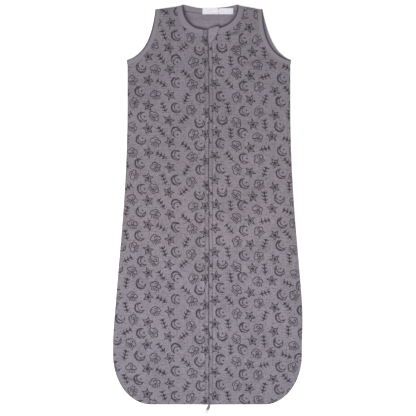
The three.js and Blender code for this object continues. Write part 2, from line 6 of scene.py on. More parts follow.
import bpy
import numpy as np
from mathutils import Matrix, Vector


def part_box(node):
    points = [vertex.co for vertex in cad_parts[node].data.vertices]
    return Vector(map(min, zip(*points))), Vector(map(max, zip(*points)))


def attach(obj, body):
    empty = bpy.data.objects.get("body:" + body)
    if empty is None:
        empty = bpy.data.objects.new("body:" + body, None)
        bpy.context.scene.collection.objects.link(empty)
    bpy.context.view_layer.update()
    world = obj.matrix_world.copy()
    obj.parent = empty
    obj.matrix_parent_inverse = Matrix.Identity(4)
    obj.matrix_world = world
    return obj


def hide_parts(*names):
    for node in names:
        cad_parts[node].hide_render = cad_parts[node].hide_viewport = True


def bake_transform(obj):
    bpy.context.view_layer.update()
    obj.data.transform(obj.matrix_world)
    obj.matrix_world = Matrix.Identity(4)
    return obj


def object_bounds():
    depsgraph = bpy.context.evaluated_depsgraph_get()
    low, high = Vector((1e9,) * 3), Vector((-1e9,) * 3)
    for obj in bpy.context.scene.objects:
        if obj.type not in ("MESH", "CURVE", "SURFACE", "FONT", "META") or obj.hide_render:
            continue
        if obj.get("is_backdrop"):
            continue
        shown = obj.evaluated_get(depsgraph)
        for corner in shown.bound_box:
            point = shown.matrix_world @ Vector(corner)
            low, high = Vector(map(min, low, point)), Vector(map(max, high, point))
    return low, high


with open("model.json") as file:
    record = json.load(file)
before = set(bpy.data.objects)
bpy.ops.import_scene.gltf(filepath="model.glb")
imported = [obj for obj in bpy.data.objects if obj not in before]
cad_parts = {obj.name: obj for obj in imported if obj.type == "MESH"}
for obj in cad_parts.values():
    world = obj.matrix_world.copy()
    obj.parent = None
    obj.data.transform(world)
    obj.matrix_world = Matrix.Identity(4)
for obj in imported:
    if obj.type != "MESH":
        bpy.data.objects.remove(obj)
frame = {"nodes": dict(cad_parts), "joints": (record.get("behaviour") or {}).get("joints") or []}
bpy.context.view_layer.update()
cad_low, cad_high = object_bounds()

# ---- Camera -----------------------------------------------------------------------
# A studio camera on a gantry over the middle of the bag, looking straight down with the
# neck at the top. The lens is long, so the bag is seen almost without perspective.
VIEW_WIDTH = 0.936
VIEW_HEIGHT = 3.0
VIEW_CENTRE = (-0.002, 0.0001)
SENSOR = 36.0  # millimetres


def placed(name, data):
    """A new object in the scene that holds a mesh, a camera or a lamp."""
    made = bpy.data.objects.new(name, data)
    bpy.context.scene.collection.objects.link(made)
    return made


camera_data = bpy.data.cameras.new("gantry_camera")
camera_data.sensor_width = SENSOR
camera_data.lens = SENSOR * (VIEW_HEIGHT - cad_high.z / 2) / VIEW_WIDTH
camera = placed("gantry_camera", camera_data)
camera.location = (*VIEW_CENTRE, VIEW_HEIGHT)
bpy.context.scene.camera = camera

# ---- Back of the bag ----------------------------------------------------------------
# One panel of printed cotton muslin, from shoulder to hem. It lies flat where the bag
# rests on it and curls up at the edges to the side seams and the hem seam.
HEM_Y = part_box("back_panel")[0].y
LENGTH = 0.8995  # hem to the neck points
HEM_FLAT_HALF = 0.128
WIDEST_HALF = 0.213
CORNER_HEIGHT = 0.112
FLARE = (0.165, 0.680)  # from the widest place up to the chest
FLARE_POWER = 0.75
CHEST_HALF = 0.1835
NECK_HALF = 0.0615
SHOULDER_TIP = (0.1205, 0.8908)
UNDERARM = 0.7760
BACK_NECK_DEPTH = 0.0080
BACK_NECK_RISE = 0.0020  # how far its ends stand above the shoulder seams
TOP_AT_HEM, TOP_AT_NECK = 0.014, 0.026
SEAM_AT_HEM, SEAM_AT_NECK = 0.0072, 0.0096
SHOULDER_ROLL = 0.060
HEM_ROLL = 0.007
BACK_ROLL = 0.020
SEAM_GAP = 0.00015
CLOTH_THICKNESS = 0.0011
UNDER_BINDING = 0.004  # how far under a binding's fold a cloth's raw edge lies
LOW_SHIFT, NECK_SHIFT, SLIT_LEAN = 0.0033, 0.0032, 0.0030
# Where each of these shifts fades, up the bag and out from its middle.
LOW_UP, LOW_OUT = (0.120, 0.240), (0.05, 0.18)
NECK_UP, NECK_OUT, NECK_PAST = (0.835, 0.885), (0.012, 0.045), (0.085, 0.118)
SLIT_UP, SLIT_OUT = (0.770, 0.842), (0.012, 0.050)
ARM_LIFT = 0.0120  # how far the back's armhole edges stand up off the table
ARM_SLOPE = (0.080, 0.135)  # from the middle to level cloth, and to the full lift
ARM_FADE = (0.03, 0.04)  # about the underarm, and below the shoulder tip
BACK_CREASE = 0.0009
COLUMN_CROWDING, ROW_CROWDING = 1.6, 1.35
ARMHOLE_ROWS = 0.14  # share of a panel's rows that lie above the underarm
BACK_ROWS, BACK_COLUMNS = 250, 64
SIDES = ((1, "right"), (-1, "left"))


def smooth(value, low, high):
    """Goes from 0 at low to 1 at high, level at both ends."""
    t = np.clip((value - low) / (high - low), 0, 1)
    return t * t * (3 - 2 * t)


def round_over(t):
    """The height of a quarter circle of radius 1 at a distance t from its foot."""
    t = np.clip(t, 0, 1)
    return np.sqrt(t * (2 - t))


def half_width(up):
    """Half the bag's width at a distance up from the hem: a rounded corner, then a cosine
    ease from the widest place to the chest."""
    climb = np.clip(1 - up / CORNER_HEIGHT, 0, 1)
    corner = HEM_FLAT_HALF + (WIDEST_HALF - HEM_FLAT_HALF) * np.sqrt(1 - climb**2)
    along = np.clip((up - FLARE[0]) / (FLARE[1] - FLARE[0]), 0, 1)
    ease = 0.5 + 0.5 * np.cos(np.pi * along**FLARE_POWER)
    side = CHEST_HALF + (WIDEST_HALF - CHEST_HALF) * ease
    return np.where(up < CORNER_HEIGHT, corner, side)


def shoulder_row(x, up):
    """The distance up of a point once the slope of the shoulders is taken out."""
    fall = (LENGTH - SHOULDER_TIP[1]) / (SHOULDER_TIP[0] - NECK_HALF)
    beyond = np.maximum(0, np.abs(x) - NECK_HALF)
    return up + fall * beyond * smooth(up, UNDERARM, LENGTH - SHOULDER_ROLL)


def swell(x, up, inset, side_roll, hem_roll):
    """How far the bag is filled at a point, 0 at the seams and 1 inside: the product of
    quarter rounds at the sides, the hem and the shoulders."""
    row = shoulder_row(x, up)
    side = round_over((half_width(row) - inset - np.abs(x)) / side_roll)
    hem = round_over((row - inset) / hem_roll)
    return side * hem * round_over((LENGTH - inset - row) / SHOULDER_ROLL)


def seam_height(x, up):
    """Height of the seams, which climbs evenly from the hem to the neck."""
    return SEAM_AT_HEM + (SEAM_AT_NECK - SEAM_AT_HEM) * shoulder_row(x, up) / LENGTH


def back_height(x, up, inset=0.0):
    """Height of the back's outer face: it rests at the inset, rises to the seam, and
    stands up softly beside the armholes."""
    seam = seam_height(x, up)
    fill = swell(x, up, inset, BACK_ROLL, HEM_ROLL)
    crease = BACK_CREASE * rumple(x + 0.4, up + 0.3) ** 2
    arm = smooth(np.abs(x), *ARM_SLOPE)
    arm = arm * smooth(up, UNDERARM - ARM_FADE[0], UNDERARM + ARM_FADE[0])
    arm = arm * (1 - smooth(up, SHOULDER_TIP[1] - ARM_FADE[1], SHOULDER_TIP[1]))
    return inset + crease * fill + (seam - inset) * (1 - fill) + ARM_LIFT * arm * fill


def rumple(x, up):
    """Soft unevenness of laid muslin, about -1 to 1: a sum of sine waves that run at
    different slants and bend each other."""
    bend = np.sin(23 * x + 9 * up + 1.3) + 0.6 * np.sin(41 * up - 17 * x)
    wave = np.sin(61 * x - 38 * up + 1.1 * bend)
    wave = wave + 0.8 * np.sin(34 * x + 71 * up + 1.4 * bend + 2.0)
    wave = wave + 0.5 * np.sin(118 * x + 87 * up + 1.7 * bend)
    return wave / 2.3


def lie(points, straight=False):
    """Points of cloth as the bag happens to lie: low down the sides sit a little to the
    left, the neck a little to the right, and the slit leans to the left below the neck
    unless it is straight, each shift fading in and out smoothly."""
    x, up = points[..., 0], points[..., 1] - HEM_Y
    off = np.abs(x)
    low = (1 - smooth(up, *LOW_UP)) * smooth(off, *LOW_OUT)
    neck = smooth(up, *NECK_UP) * smooth(off, *NECK_OUT) * (1 - smooth(off, *NECK_PAST))
    slit = smooth(up, *SLIT_UP) * (1 - smooth(off, *SLIT_OUT)) * (not straight)
    moved = points.copy()
    moved[..., 0] += NECK_SHIFT * neck - LOW_SHIFT * low - SLIT_LEAN * slit
    return moved


def neck_curve(half, depth, roundness, grown, count):
    """Right half of a neck edge, from the middle to the neck point: a quarter of a
    superellipse that hangs from the neck points, grown outwards by an allowance."""
    turn = np.linspace(0, np.pi / 2, count)
    x = (half + grown) * np.sin(turn) ** (2 / roundness)
    y = LENGTH - (depth + grown) * np.cos(turn) ** (2 / roundness)
    return np.stack([x, y], 1)


def unit(ways):
    """Directions of length 1 along the rows of an array."""
    return ways / np.linalg.norm(ways, axis=1, keepdims=True)


def arm_curve(grown, count):
    """Edge of an armhole from the shoulder tip to the underarm: a cubic Bezier curve,
    moved into the bag by an allowance."""
    underarm = (CHEST_HALF + 0.002, UNDERARM)
    drop = SHOULDER_TIP[1] - UNDERARM
    first = (SHOULDER_TIP[0] + 0.004, SHOULDER_TIP[1] - drop * 0.46)
    second = (SHOULDER_TIP[0] + 0.016, UNDERARM + 0.012)
    p = np.array([SHOULDER_TIP, first, second, underarm])
    t = np.linspace(0, 1, count)[:, None]
    place = (1 - t) ** 3 * p[0] + 3 * t * (1 - t) ** 2 * p[1]
    place = place + 3 * t * t * (1 - t) * p[2] + t**3 * p[3]
    way = (1 - t) ** 2 * (p[1] - p[0]) + 2 * t * (1 - t) * (p[2] - p[1]) + t * t * (p[3] - p[2])
    way = unit(way)
    return place + grown * np.stack([way[:, 1], -way[:, 0]], 1)


def run_along(points):
    """The length of a line of points up to each of them, from 0."""
    steps = np.linalg.norm(np.diff(points, axis=0), axis=1)
    return np.concatenate([[0], np.cumsum(steps)])


def spread(points, shares):
    """Points of a line at shares of its length from 0 to 1."""
    run = run_along(points)
    run = run / run[-1]
    return np.stack([np.interp(shares, run, points[:, k]) for k in range(points.shape[1])], -1)


def patch(bottom, top, left, right):
    """A net between four lines that meet at their ends, as arrays of points: the sum of
    the two ruled surfaces less the bilinear one (a Coons patch). Rows run bottom to top."""
    u = np.linspace(0, 1, len(bottom))[None, :, None]
    v = np.linspace(0, 1, len(left))[:, None, None]
    ruled = (1 - v) * bottom[None] + v * top[None]
    ruled = ruled + (1 - u) * left[:, None] + u * right[:, None]
    near = (1 - v) * bottom[0] + v * top[0]
    far = (1 - v) * bottom[-1] + v * top[-1]
    return ruled - (1 - u) * near - u * far


def rows_below(rows):
    """How many of a panel's rows lie below the underarm."""
    return int(rows * (1 - ARMHOLE_ROWS))


def spaced(count):
    """Shares from 0 to 1, close together at the start, where the cloth curls."""
    return np.linspace(0, 1, count) ** ROW_CROWDING


def side_line(inset, grown, rows):
    """Outer edge of half a panel, from the end of the straight hem round the corner, up
    the side to the underarm and along the armhole to the shoulder tip."""
    turn = np.linspace(0, np.pi / 2, 40)
    up = inset + (CORNER_HEIGHT - inset) * (1 - np.cos(turn))
    reach = WIDEST_HALF - HEM_FLAT_HALF - inset
    corner = np.stack([HEM_FLAT_HALF + reach * np.sin(turn), up], 1)
    under = arm_curve(grown, 60)[-1]
    heights = np.linspace(CORNER_HEIGHT, under[1], 80)[1:]
    side = np.stack([half_width(heights) - inset, heights], 1)
    side[-1, 0] = min(side[-1, 0], under[0])
    arm = arm_curve(grown, 60)[::-1]
    below = rows_below(rows)
    lower = spread(np.concatenate([corner, side]), spaced(below))
    upper = spread(np.concatenate([side[-1:], arm[1:]]), np.linspace(0, 1, rows - below + 1))
    return np.concatenate([lower, upper[1:]])


def half_panel(inner, neck, inset, grown, columns, rows):
    """Plan of half a panel, right side: a patch between an inner line, the hem, the outer
    edge, and the neck edge with the shoulder. Columns crowd towards the outer edge."""
    right = side_line(inset, grown, rows)
    shares = 1 - (1 - np.linspace(0, 1, columns)) ** COLUMN_CROWDING
    below, turn = rows_below(rows), 1 - ARMHOLE_ROWS
    left = spread(inner, np.concatenate([spaced(below) * turn,
                                         np.linspace(turn, 1, rows - below + 1)[1:]]))
    bottom = spread(np.array([inner[0], right[0]]), shares)
    top = spread(np.concatenate([neck, right[-1:]]), shares)
    left[0], left[-1] = bottom[0], top[0]
    return patch(bottom, top, left, right)


def squares(number, flip=False):
    """The faces between neighbours in a net of point numbers, or in several nets."""
    corners = [number[..., :-1, :-1], number[..., :-1, 1:],
               number[..., 1:, 1:], number[..., 1:, :-1]]
    return np.stack(corners[::-1] if flip else corners, -1).reshape(-1, 4).tolist()


def smooth_object(name, points, faces, material):
    """An object of points and faces in one material, shaded as a smooth surface."""
    mesh = bpy.data.meshes.new(name)
    mesh.from_pydata(points.reshape(-1, 3).tolist(), [], faces)
    mesh.materials.append(material)
    mesh.polygons.foreach_set("use_smooth", np.ones(len(mesh.polygons), bool))
    return placed(name, mesh)


def net_object(name, points, material, uv=None, thickness=0.0, wrap=False, flip=False,
               straight=False):
    """An object whose faces are the squares of a net of points, laid as the bag lies, with
    a cloth's thickness below them. A wrapped net is closed from its last column to its
    first, and its end rows are closed by one face each."""
    points = lie(points, straight)
    rows, columns = points.shape[:2]
    number = np.arange(rows * columns).reshape(rows, columns)
    if wrap:
        number = np.concatenate([number, number[:, :1]], 1)
    faces = squares(number, flip)
    if wrap:
        ends = [number[0, :-1], number[-1, :-1][::-1]]
        faces += [(end if flip else end[::-1]).tolist() for end in ends]
    made = smooth_object(name, points, faces, material)
    if uv is not None:
        loops = np.zeros(len(made.data.loops), np.int32)
        made.data.loops.foreach_get("vertex_index", loops)
        layer = made.data.uv_layers.new(name="cloth")
        layer.data.foreach_set("uv", uv.reshape(-1, 2)[loops].astype(np.float32).ravel())
    if thickness:
        wall = made.modifiers.new("thickness", "SOLIDIFY")
        wall.thickness = thickness
        wall.offset = -1
    return made


def cloth_uv(points, start=0.0):
    """Flat places of a net's points in metres: the length run along each row and the
    height up the bag, so that a print keeps its size round an edge."""
    steps = np.hypot(np.diff(points[..., 0], axis=1), np.diff(points[..., 2], axis=1))
    across = np.concatenate([points[:, :1, 0] + start, steps], 1).cumsum(1)
    return np.stack([across, points[..., 1] - HEM_Y], -1)


def operation(kind):
    """A method that adds a Math node of a kind, fed by a tone and what follows it."""
    def add_math(tone, *others):
        return tone.node("Math", {"operation": kind}, enumerate((tone, *others)))
    return add_math


class Tone:
    """A socket whose value changes over a surface. Sums, differences, products and so on
    of tones and numbers add Math nodes, and node() adds any other kind."""

    def __init__(self, tree, socket=None):
        self.tree, self.socket = tree, socket

    def node(self, kind, settings=(), sockets=(), out=0):
        """Adds a node of a kind, applies its settings, then gives its sockets, by name or
        place, numbers or tones."""
        made = self.tree.nodes.new("ShaderNode" + kind)
        for name, value in dict(settings).items():
            if name == "stops":
                ramp = made.color_ramp.elements
                while len(ramp) < len(value):
                    ramp.new(0.5)
                for stop, (place, colour) in zip(ramp, value):
                    stop.position, stop.color = place, (*colour, 1)
            else:
                setattr(made, name, value)
        for name, value in dict(sockets).items():
            if isinstance(value, Tone):
                self.tree.links.new(value.socket, made.inputs[name])
            else:
                made.inputs[name].default_value = value
        return Tone(self.tree, made.outputs[out])

    __add__ = __radd__ = operation("ADD")
    __sub__ = operation("SUBTRACT")
    __mul__ = __rmul__ = operation("MULTIPLY")
    __truediv__ = operation("DIVIDE")
    __pow__ = operation("POWER")
    __mod__ = operation("FLOORED_MODULO")
    __abs__ = operation("ABSOLUTE")
    floor = operation("FLOOR")
    least = operation("MINIMUM")
    most = operation("MAXIMUM")
    sine = operation("SINE")
    cosine = operation("COSINE")
    angle_from = operation("ARCTAN2")
    is_near = operation("COMPARE")

    def __rsub__(self, other):
        return self * -1 + other

    def wave(self, length):
        """A sine of this distance, from -1 to 1."""
        return (self * (2 * math.pi / length)).sine()

    def step(self, low, high):
        """0 where this is low and 1 where it is high, smooth between."""
        settings = {"interpolation_type": "SMOOTHSTEP"}
        return self.node("MapRange", settings, {0: self, 1: low, 2: high, 3: 0.0, 4: 1.0})

    def colours(self, kind, share, first, second):
        """Two colours joined by a Mix node. Its sockets 6 and 7 take the colours, and its
        socket 2 gives what they make."""
        settings = {"data_type": "RGBA", "blend_type": kind}
        return self.node("Mix", settings, {0: share, 6: first, 7: second}, 2)

    def mix(self, first, second):
        """The first colour where this is 0 and the second where it is 1."""
        ends = [c if isinstance(c, Tone) else (*c, 1) for c in (first, second)]
        return self.colours("MIX", self, *ends)

    def times(self, colour):
        """A colour multiplied by this colour or number."""
        return self.colours("MULTIPLY", 1.0, colour, self)

    def joined(self, y, z=0.0):
        """A vector with this as its first coordinate."""
        return self.node("CombineXYZ", (), {0: self, 1: y, 2: z})

    def noise(self, scale, detail=2.0, rough=0.5):
        """Cloudy noise at this vector, about 0 to 1."""
        sockets = {"Vector": self, "Scale": scale, "Detail": detail, "Roughness": rough}
        return self.node("TexNoise", (), sockets)

    def grain(self, other, scale, sheet=0.0, detail=2.0, rough=0.5):
        """Cloudy noise over the plane of this distance and another, about 0 to 1: its scale
        along each, in cells for each millimetre, and the sheet of the noise it is cut from."""
        return (self * scale[0]).joined(other * scale[1], sheet).noise(1.0, detail, rough)

    def cloth_places(self):
        """Distances across and along a flat cloth in millimetres, from its map."""
        flat = {"Vector": self.node("UVMap", {"uv_map": "cloth"})}
        return [self.node("SeparateXYZ", (), flat, k) * 1000 for k in (0, 1)]


def reach(x, y):
    """Distance from the origin of two tones or numbers."""
    return ((x * x) + (y * y)) ** 0.5


def new_material(name, roughness, sheen=0.0, metallic=0.0, specular=0.5):
    """A material and the tree that its tones grow on, with its constant sockets set."""
    material = bpy.data.materials.new(name)
    material.use_nodes = True
    shader = material.node_tree.nodes["Principled BSDF"]
    shader.inputs["Roughness"].default_value = roughness
    shader.inputs["Metallic"].default_value = metallic
    shader.inputs["Specular IOR Level"].default_value = specular
    shader.inputs["Sheen Weight"].default_value = sheen
    shader.inputs["Sheen Roughness"].default_value = 0.6
    return material, Tone(material.node_tree)


def finish_material(material, colour, height=None, depth=0.0, roughness=None):
    """Feeds the shader a colour, and if given a height map of a depth in metres and a
    roughness."""
    tree = material.node_tree
    inputs = tree.nodes["Principled BSDF"].inputs
    tree.links.new(colour.socket, inputs["Base Color"])
    if roughness is not None:
        tree.links.new(roughness.socket, inputs["Roughness"])
    if height is not None:
        bump = colour.node("Bump", (), {"Height": height, "Distance": depth, "Strength": 1.0})
        tree.links.new(bump.socket, inputs["Normal"])
    return material


def linear(*levels):
    """A colour in linear light from display levels of 0 to 255."""
    shares = [v / 255 for v in levels]
    return tuple(s / 12.92 if s <= 0.04045 else ((s + 0.055) / 1.055) ** 2.4 for s in shares)


MUSLIN_LIGHT = linear(147, 139, 149)
MUSLIN_DARK = linear(119, 112, 121)
INK = linear(26, 22, 25)
COOL, WARM = (0.965, 1.0, 1.06), (1.04, 0.985, 0.965)  # between which its hue wanders
# Painted shade at the zip band's topstitching and fold, at the hem and at the neck, and a
# painted highlight on the band's ridge: how much darker or lighter the cloth is painted there.
# Soft light alone shows such small shapes too faintly.
DENT_TONE, CREST_TONE, EDGE_TONE, HEM_TONE, NECK_TONE = 0.20, 0.14, 0.08, 0.36, 0.6
HEM_LINE = (1.6, 3.4)  # up from the hem, in millimetres
HEM_DARKER = ((26, 40), (64, 78))  # where the hem's line starts and ends to be twice as dark
NECK_LINE, NECK_LINE_END = (3.2, 2.0), (26, 29)
CELL_WIDTH = 33.0  # millimetres between the motifs of a row
CELL_HEIGHT = 27.0
ROW_SLANT = 0.12
LENGTH_TONE_RUN = 900.0  # millimetres over which the tones below are spread
# The cloth's slow change of tone from the hem to the shoulders, as factors in linear light:
# partly the cloth's own tone and partly painted light and shade.
LENGTH_TONE_AND_LIGHT = ((0.0, (0.96, 1.005, 1.005)), (0.15, (1.05, 1.085, 1.10)), (0.45, (1.08, 1.08, 1.035)),
       (0.62, (1.01, 1.015, 0.97)), (0.80, (0.93, 0.95, 0.93)))
MOTIF_SIZE = 1.06
STROKE = 0.86  # half a printed line's width in millimetres


def star(x, y):
    """Distance to a five-pointed star's outline, folded into a tenth of a turn."""
    fifth = 2 * math.pi / 5
    turn = abs((y.angle_from(x) + fifth / 2) % fifth - fifth / 2)
    far = reach(x, y)
    along, off = far * turn.cosine(), far * turn.sine()
    tip, notch = np.array([11.0, 0]), 5.0 * np.array([math.cos(fifth / 2), math.sin(fifth / 2)])
    edge = (notch - tip) / np.linalg.norm(notch - tip)
    side = (along - tip[0]) * float(edge[1]) - off * float(edge[0])
    return abs(side).least(abs(abs(side + 3.0) - 0.1)).least(far - 1.2)


def moon(x, y):
    """Distance to a crescent's outline, one disc less another, with a dot in its arms."""
    disc = reach(x, y) - 10.5
    bite = reach(x - 5.0, y - 1.5) - 8.4
    inner = abs(reach(x + 0.6, y) - 8.2).most(8.0 - reach(x - 5.4, y - 1.5)).most(x + 1.0)
    return abs(disc.most(bite * -1)).least(reach(x - 5.5, y - 1.0) - 0.9).least(inner)


def cloud(x, y):
    """Distance to a cloud's outline, three discs on a level base, with drops below it."""
    puffs = (reach(x + 6, y) - 5.0).least(reach(x, y - 3) - 6.4)
    puffs = puffs.least(reach(x - 6.5, y) - 4.6)
    outline = abs(puffs.most(y * -1 - 3.2))
    drops = (abs((x + 1.8) % 3.6 - 1.8)).most(abs(y + 7.8) - 2.2).most(abs(x) - 7.4)
    curl = abs(reach(x - 1.0, y - 2.0) - 3.0).most(x * -1 - 1.0)
    return outline.least(drops).least(curl)


def sprig(x, y):
    """Distance to a stem with three pairs of oval leaves, folded along the stem."""
    stem = abs(x).most(abs(y) - 11.0)
    step = (y + 11.0) % 7.4 - 3.7
    out = abs(x)
    along, off = (out + step) * 0.7071 - 4.4, (step - out) * 0.7071
    leaf = abs((reach(along / 3.6, off / 1.7) - 1) * 1.7)
    return stem.least(leaf + (abs(y) - 12.0).most(0) * 3)


def print_ink(x, y):
    """1 on the ink of the print, 0 off it. The plane is cut into staggered cells, and
    each holds one of four motifs, turned and moved by a little."""
    climb = y + x * ROW_SLANT
    row = (climb / CELL_HEIGHT).floor()
    slid = x + (row % 2) * (CELL_WIDTH / 2)
    column = (slid / CELL_WIDTH).floor()
    local_x = slid - (column + 0.5) * CELL_WIDTH
    local_y = climb - (row + 0.5) * CELL_HEIGHT
    kind = (column + row * 2) % 4
    cell = (column % 7).joined(row % 6)
    chance = cell.node("TexWhiteNoise", {"noise_dimensions": "2D"}, {"Vector": cell})
    turn = (chance - 0.5) * 2.6
    move_x, move_y = (chance * 17.0).floor() % 3 - 1, (chance * 29.0).floor() % 3 - 1
    away_x, away_y = local_x - move_x * 3.0, local_y - move_y * 2.6
    cos, sin = turn.cosine(), turn.sine()
    turned_x = (away_x * cos + away_y * sin) / MOTIF_SIZE
    turned_y = (away_y * cos - away_x * sin) / MOTIF_SIZE
    far = 0.0
    for number, motif in enumerate((sprig, moon, cloud, star)):
        chosen = kind.is_near(number, 0.2)
        far = chosen * motif(turned_x, turned_y) * MOTIF_SIZE + far
    dots = reach(abs(local_x) - CELL_WIDTH / 2, abs(local_y) - CELL_HEIGHT / 2) - 0.5
    press = x.grain(y, (0.12, 0.12), 3) * 0.8 - 0.4
    return 1 - (far.least(dots) + press).step(STROKE - 0.3, STROKE + 0.35)


def muslin(name, slide, printed=True, light=MUSLIN_LIGHT, dark=MUSLIN_DARK, band=None):
    """Crinkled double muslin: slubbed threads both ways, a soft crinkle, an uneven dye,
    and the print, slid across the cloth by a distance in millimetres. The outside's muslin
    also changes tone from the hem to the shoulders, partly as painted light and shade. band
    gives the places across the cloth of the zip fold, its topstitching and its ridge, where
    shade and a highlight are painted."""
    material, tone = new_material(name, 0.92, sheen=0.12, specular=0.2)
    s, t = tone.cloth_places()
    slubs = s.grain(t, (0.045, 0.42), 0, 3, 0.6)
    ends = s.grain(t, (0.38, 0.03), 4, 2, 0.6)
    crinkle = s.grain(t, (0.20, 0.26), 9, 3, 0.6)
    patchy = s.grain(t, (0.012, 0.012), 2)
    shade = slubs * 0.5 + ends * 0.3 + crinkle * 0.5 + patchy * 0.2
    colour = shade.step(0.57, 0.93).mix(dark, light)
    tint = s.grain(t, (0.10, 0.16), 12, 3, 0.6).step(0.3, 0.7)
    colour = tint.mix(COOL, WARM).times(colour)
    # Painted light and shade along the bag's length, partly the cloth's own tone.
    if light == MUSLIN_LIGHT:
        up = t / LENGTH_TONE_RUN + s.grain(t, (0.01, 0.01), 6) * 0.1 - 0.05
        colour = up.node("ValToRGB", {"stops": LENGTH_TONE_AND_LIGHT}, {0: up}).times(colour)
    if band is not None:
        # Painted shade along the band's topstitching and fold, at the hem and at the neck edge,
        # a painted highlight on the band's ridge, and painted shade in the folds from the crease
        # attribute.
        fold, stitched, ridge = band
        off = abs(s)
        dent = 1 - abs(off - stitched).step(0.4, 1.8)
        crest = 1 - abs(off - ridge).step(0.6, 2.8)
        edge = 1 - abs(off - fold).step(0.4, 1.6)
        darker = s.step(*HEM_DARKER[0]) * (1 - s.step(*HEM_DARKER[1]))
        hem = (1 - t.step(*HEM_LINE)) * (darker * HEM_TONE + HEM_TONE)
        low, high = 1000 * NECK_EDGE - np.array(NECK_LINE)
        neck = t.step(low, high) * (1 - off.step(*NECK_LINE_END)) * NECK_TONE
        painted_fold_shade = tone.node("Attribute", {"attribute_name": "crease"}, out="Fac")
        tone_here = 1.0 - dent * DENT_TONE + crest * CREST_TONE - edge * EDGE_TONE
        colour = (tone_here - (hem + neck) - painted_fold_shade).times(colour)
    if printed:
        drift_x, drift_y = [(s.grain(t, (0.11, 0.11), sheet, 3) - 0.5) * 5 for sheet in (5, 7)]
        ink = print_ink(s + drift_x + slide[0], t + drift_y + slide[1])
        worn = s.grain(t, (0.9, 0.9), 3) * 0.5 + 0.62
        colour = (ink * worn.least(1.0)).mix(colour, INK)
    weave = s.wave(0.9) * t.wave(0.9)
    height = crinkle + slubs * 0.35 + ends * 0.2 + weave * 0.06
    return finish_material(material, colour, height, 0.0012)


def back_neck_line(grown, count=30):
    """Right half of the back's neck edge, from the middle to the neck point: a parabola,
    moved down by an allowance and out by the same at its end."""
    share = np.linspace(0, 1, count)
    y = LENGTH + BACK_NECK_RISE - BACK_NECK_DEPTH * (1 - share**2) - grown
    return np.stack([(NECK_HALF + grown * share) * share, y], 1)


def both_halves(plan):
    """The plan of a whole panel from that of its right half."""
    return np.concatenate([plan[:, :0:-1] * (-1, 1), plan], 1)


back_neck = back_neck_line(UNDER_BINDING)
back_middle = np.array([[0.0, 0.0], back_neck[0]])
back_plan = both_halves(half_panel(back_middle, back_neck, 0.0, UNDER_BINDING,
                                   BACK_COLUMNS, BACK_ROWS))
back_points = np.stack([back_plan[..., 0], back_plan[..., 1] + HEM_Y,
                        back_height(back_plan[..., 0], back_plan[..., 1]) - SEAM_GAP], -1)
back_points[..., 2] = np.maximum(back_points[..., 2], 0)
back_cloth = net_object("back_cloth", back_points, muslin("printed_muslin_back", (11, 5)),
                        cloth_uv(back_points), CLOTH_THICKNESS, flip=True)
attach(back_cloth, "root")
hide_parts("back_panel")

# ---- Fronts of the bag --------------------------------------------------------------
# Two panels of the same muslin. Beside the zip each is folded under, laid over the tape
# and topstitched, and the folded edges meet over the teeth. At the hem they part around
# the slider.
FRONT_ROLL = 0.090
ZIP_ROLL = 0.0025  # rounding of the hem beside the zip
FRONT_NECK_DEPTH = 0.055
NECK_ROUNDNESS = 2.3
SLIT_HALF = 0.0005
SLIDER_SLIT_HALF = 0.0046
SLIDER_END = 0.019
STITCH_FROM_SLIT = 0.0078
NECK_EDGE = LENGTH - FRONT_NECK_DEPTH
BAND_END = 0.018
BAND_TOP = NECK_EDGE - 0.001
FRONT_UNEVEN = 0.0013
FRONT_COLUMNS, FRONT_ROWS = 82, 370
PUCKER, PUCKER_PITCH = 0.00016, 0.011
TURN_IN = 0.0015  # how far above the hem the turned-under edge starts
BAND_FLAT = (0.028, 0.014)  # below the neck edge, where the band's outer side flattens
CREASE_SLOPE, CREASE_DARKEST = 280, 0.3  # a fold's painted tone for its slope, and at most
# From the turned-under edge, round the fold, over the topstitching and the tape's edge:
# distance from the slit's edge and height above the panel, in millimetres.
BAND = np.array([
    (7.0, -1.25), (3.5, -1.25), (1.4, -1.2), (0.5, -0.95), (0.1, -0.4), (0.0, 0.1),
    (0.15, 0.6), (0.6, 1.0), (1.4, 1.2), (3.0, 1.25), (4.6, 1.25), (5.8, 1.15),
    (6.7, 0.8), (7.4, 0.3), (7.8, 0.15), (8.3, 0.3), (9.2, 0.75), (10.4, 1.05),
    (12.0, 1.2), (13.4, 1.1), (14.6, 0.7), (15.6, 0.3)]) / 1000
# Folds left in the cloth: two ends across and up, width and height.
FOLDS = (
    ((-0.191, 0.0655), (-0.150, 0.0545), 0.0031, -0.0052),
    ((-0.188, 0.0590), (-0.146, 0.0475), 0.0048, 0.0036),
    ((0.034, 0.8325), (0.070, 0.8420), 0.0032, -0.0030),
    ((0.040, 0.8255), (0.078, 0.8350), 0.0050, 0.0026),
    ((0.044, 0.7995), (0.082, 0.8155), 0.0033, -0.0032),
    ((0.048, 0.7925), (0.092, 0.8095), 0.0052, 0.0034),
    ((0.070, 0.770), (0.135, 0.783), 0.0055, -0.0030),
    ((-0.020, 0.020), (-0.050, 0.120), 0.0050, 0.0016),
    ((0.022, 0.010), (0.048, 0.085), 0.0045, 0.0019),
    ((-0.160, 0.390), (-0.164, 0.300), 0.0060, -0.0019),
    ((0.152, 0.520), (0.158, 0.400), 0.0080, -0.0019),
    ((-0.110, 0.640), (-0.060, 0.610), 0.0080, 0.0016),
    ((0.060, 0.330), (0.150, 0.350), 0.0090, 0.0016),
)


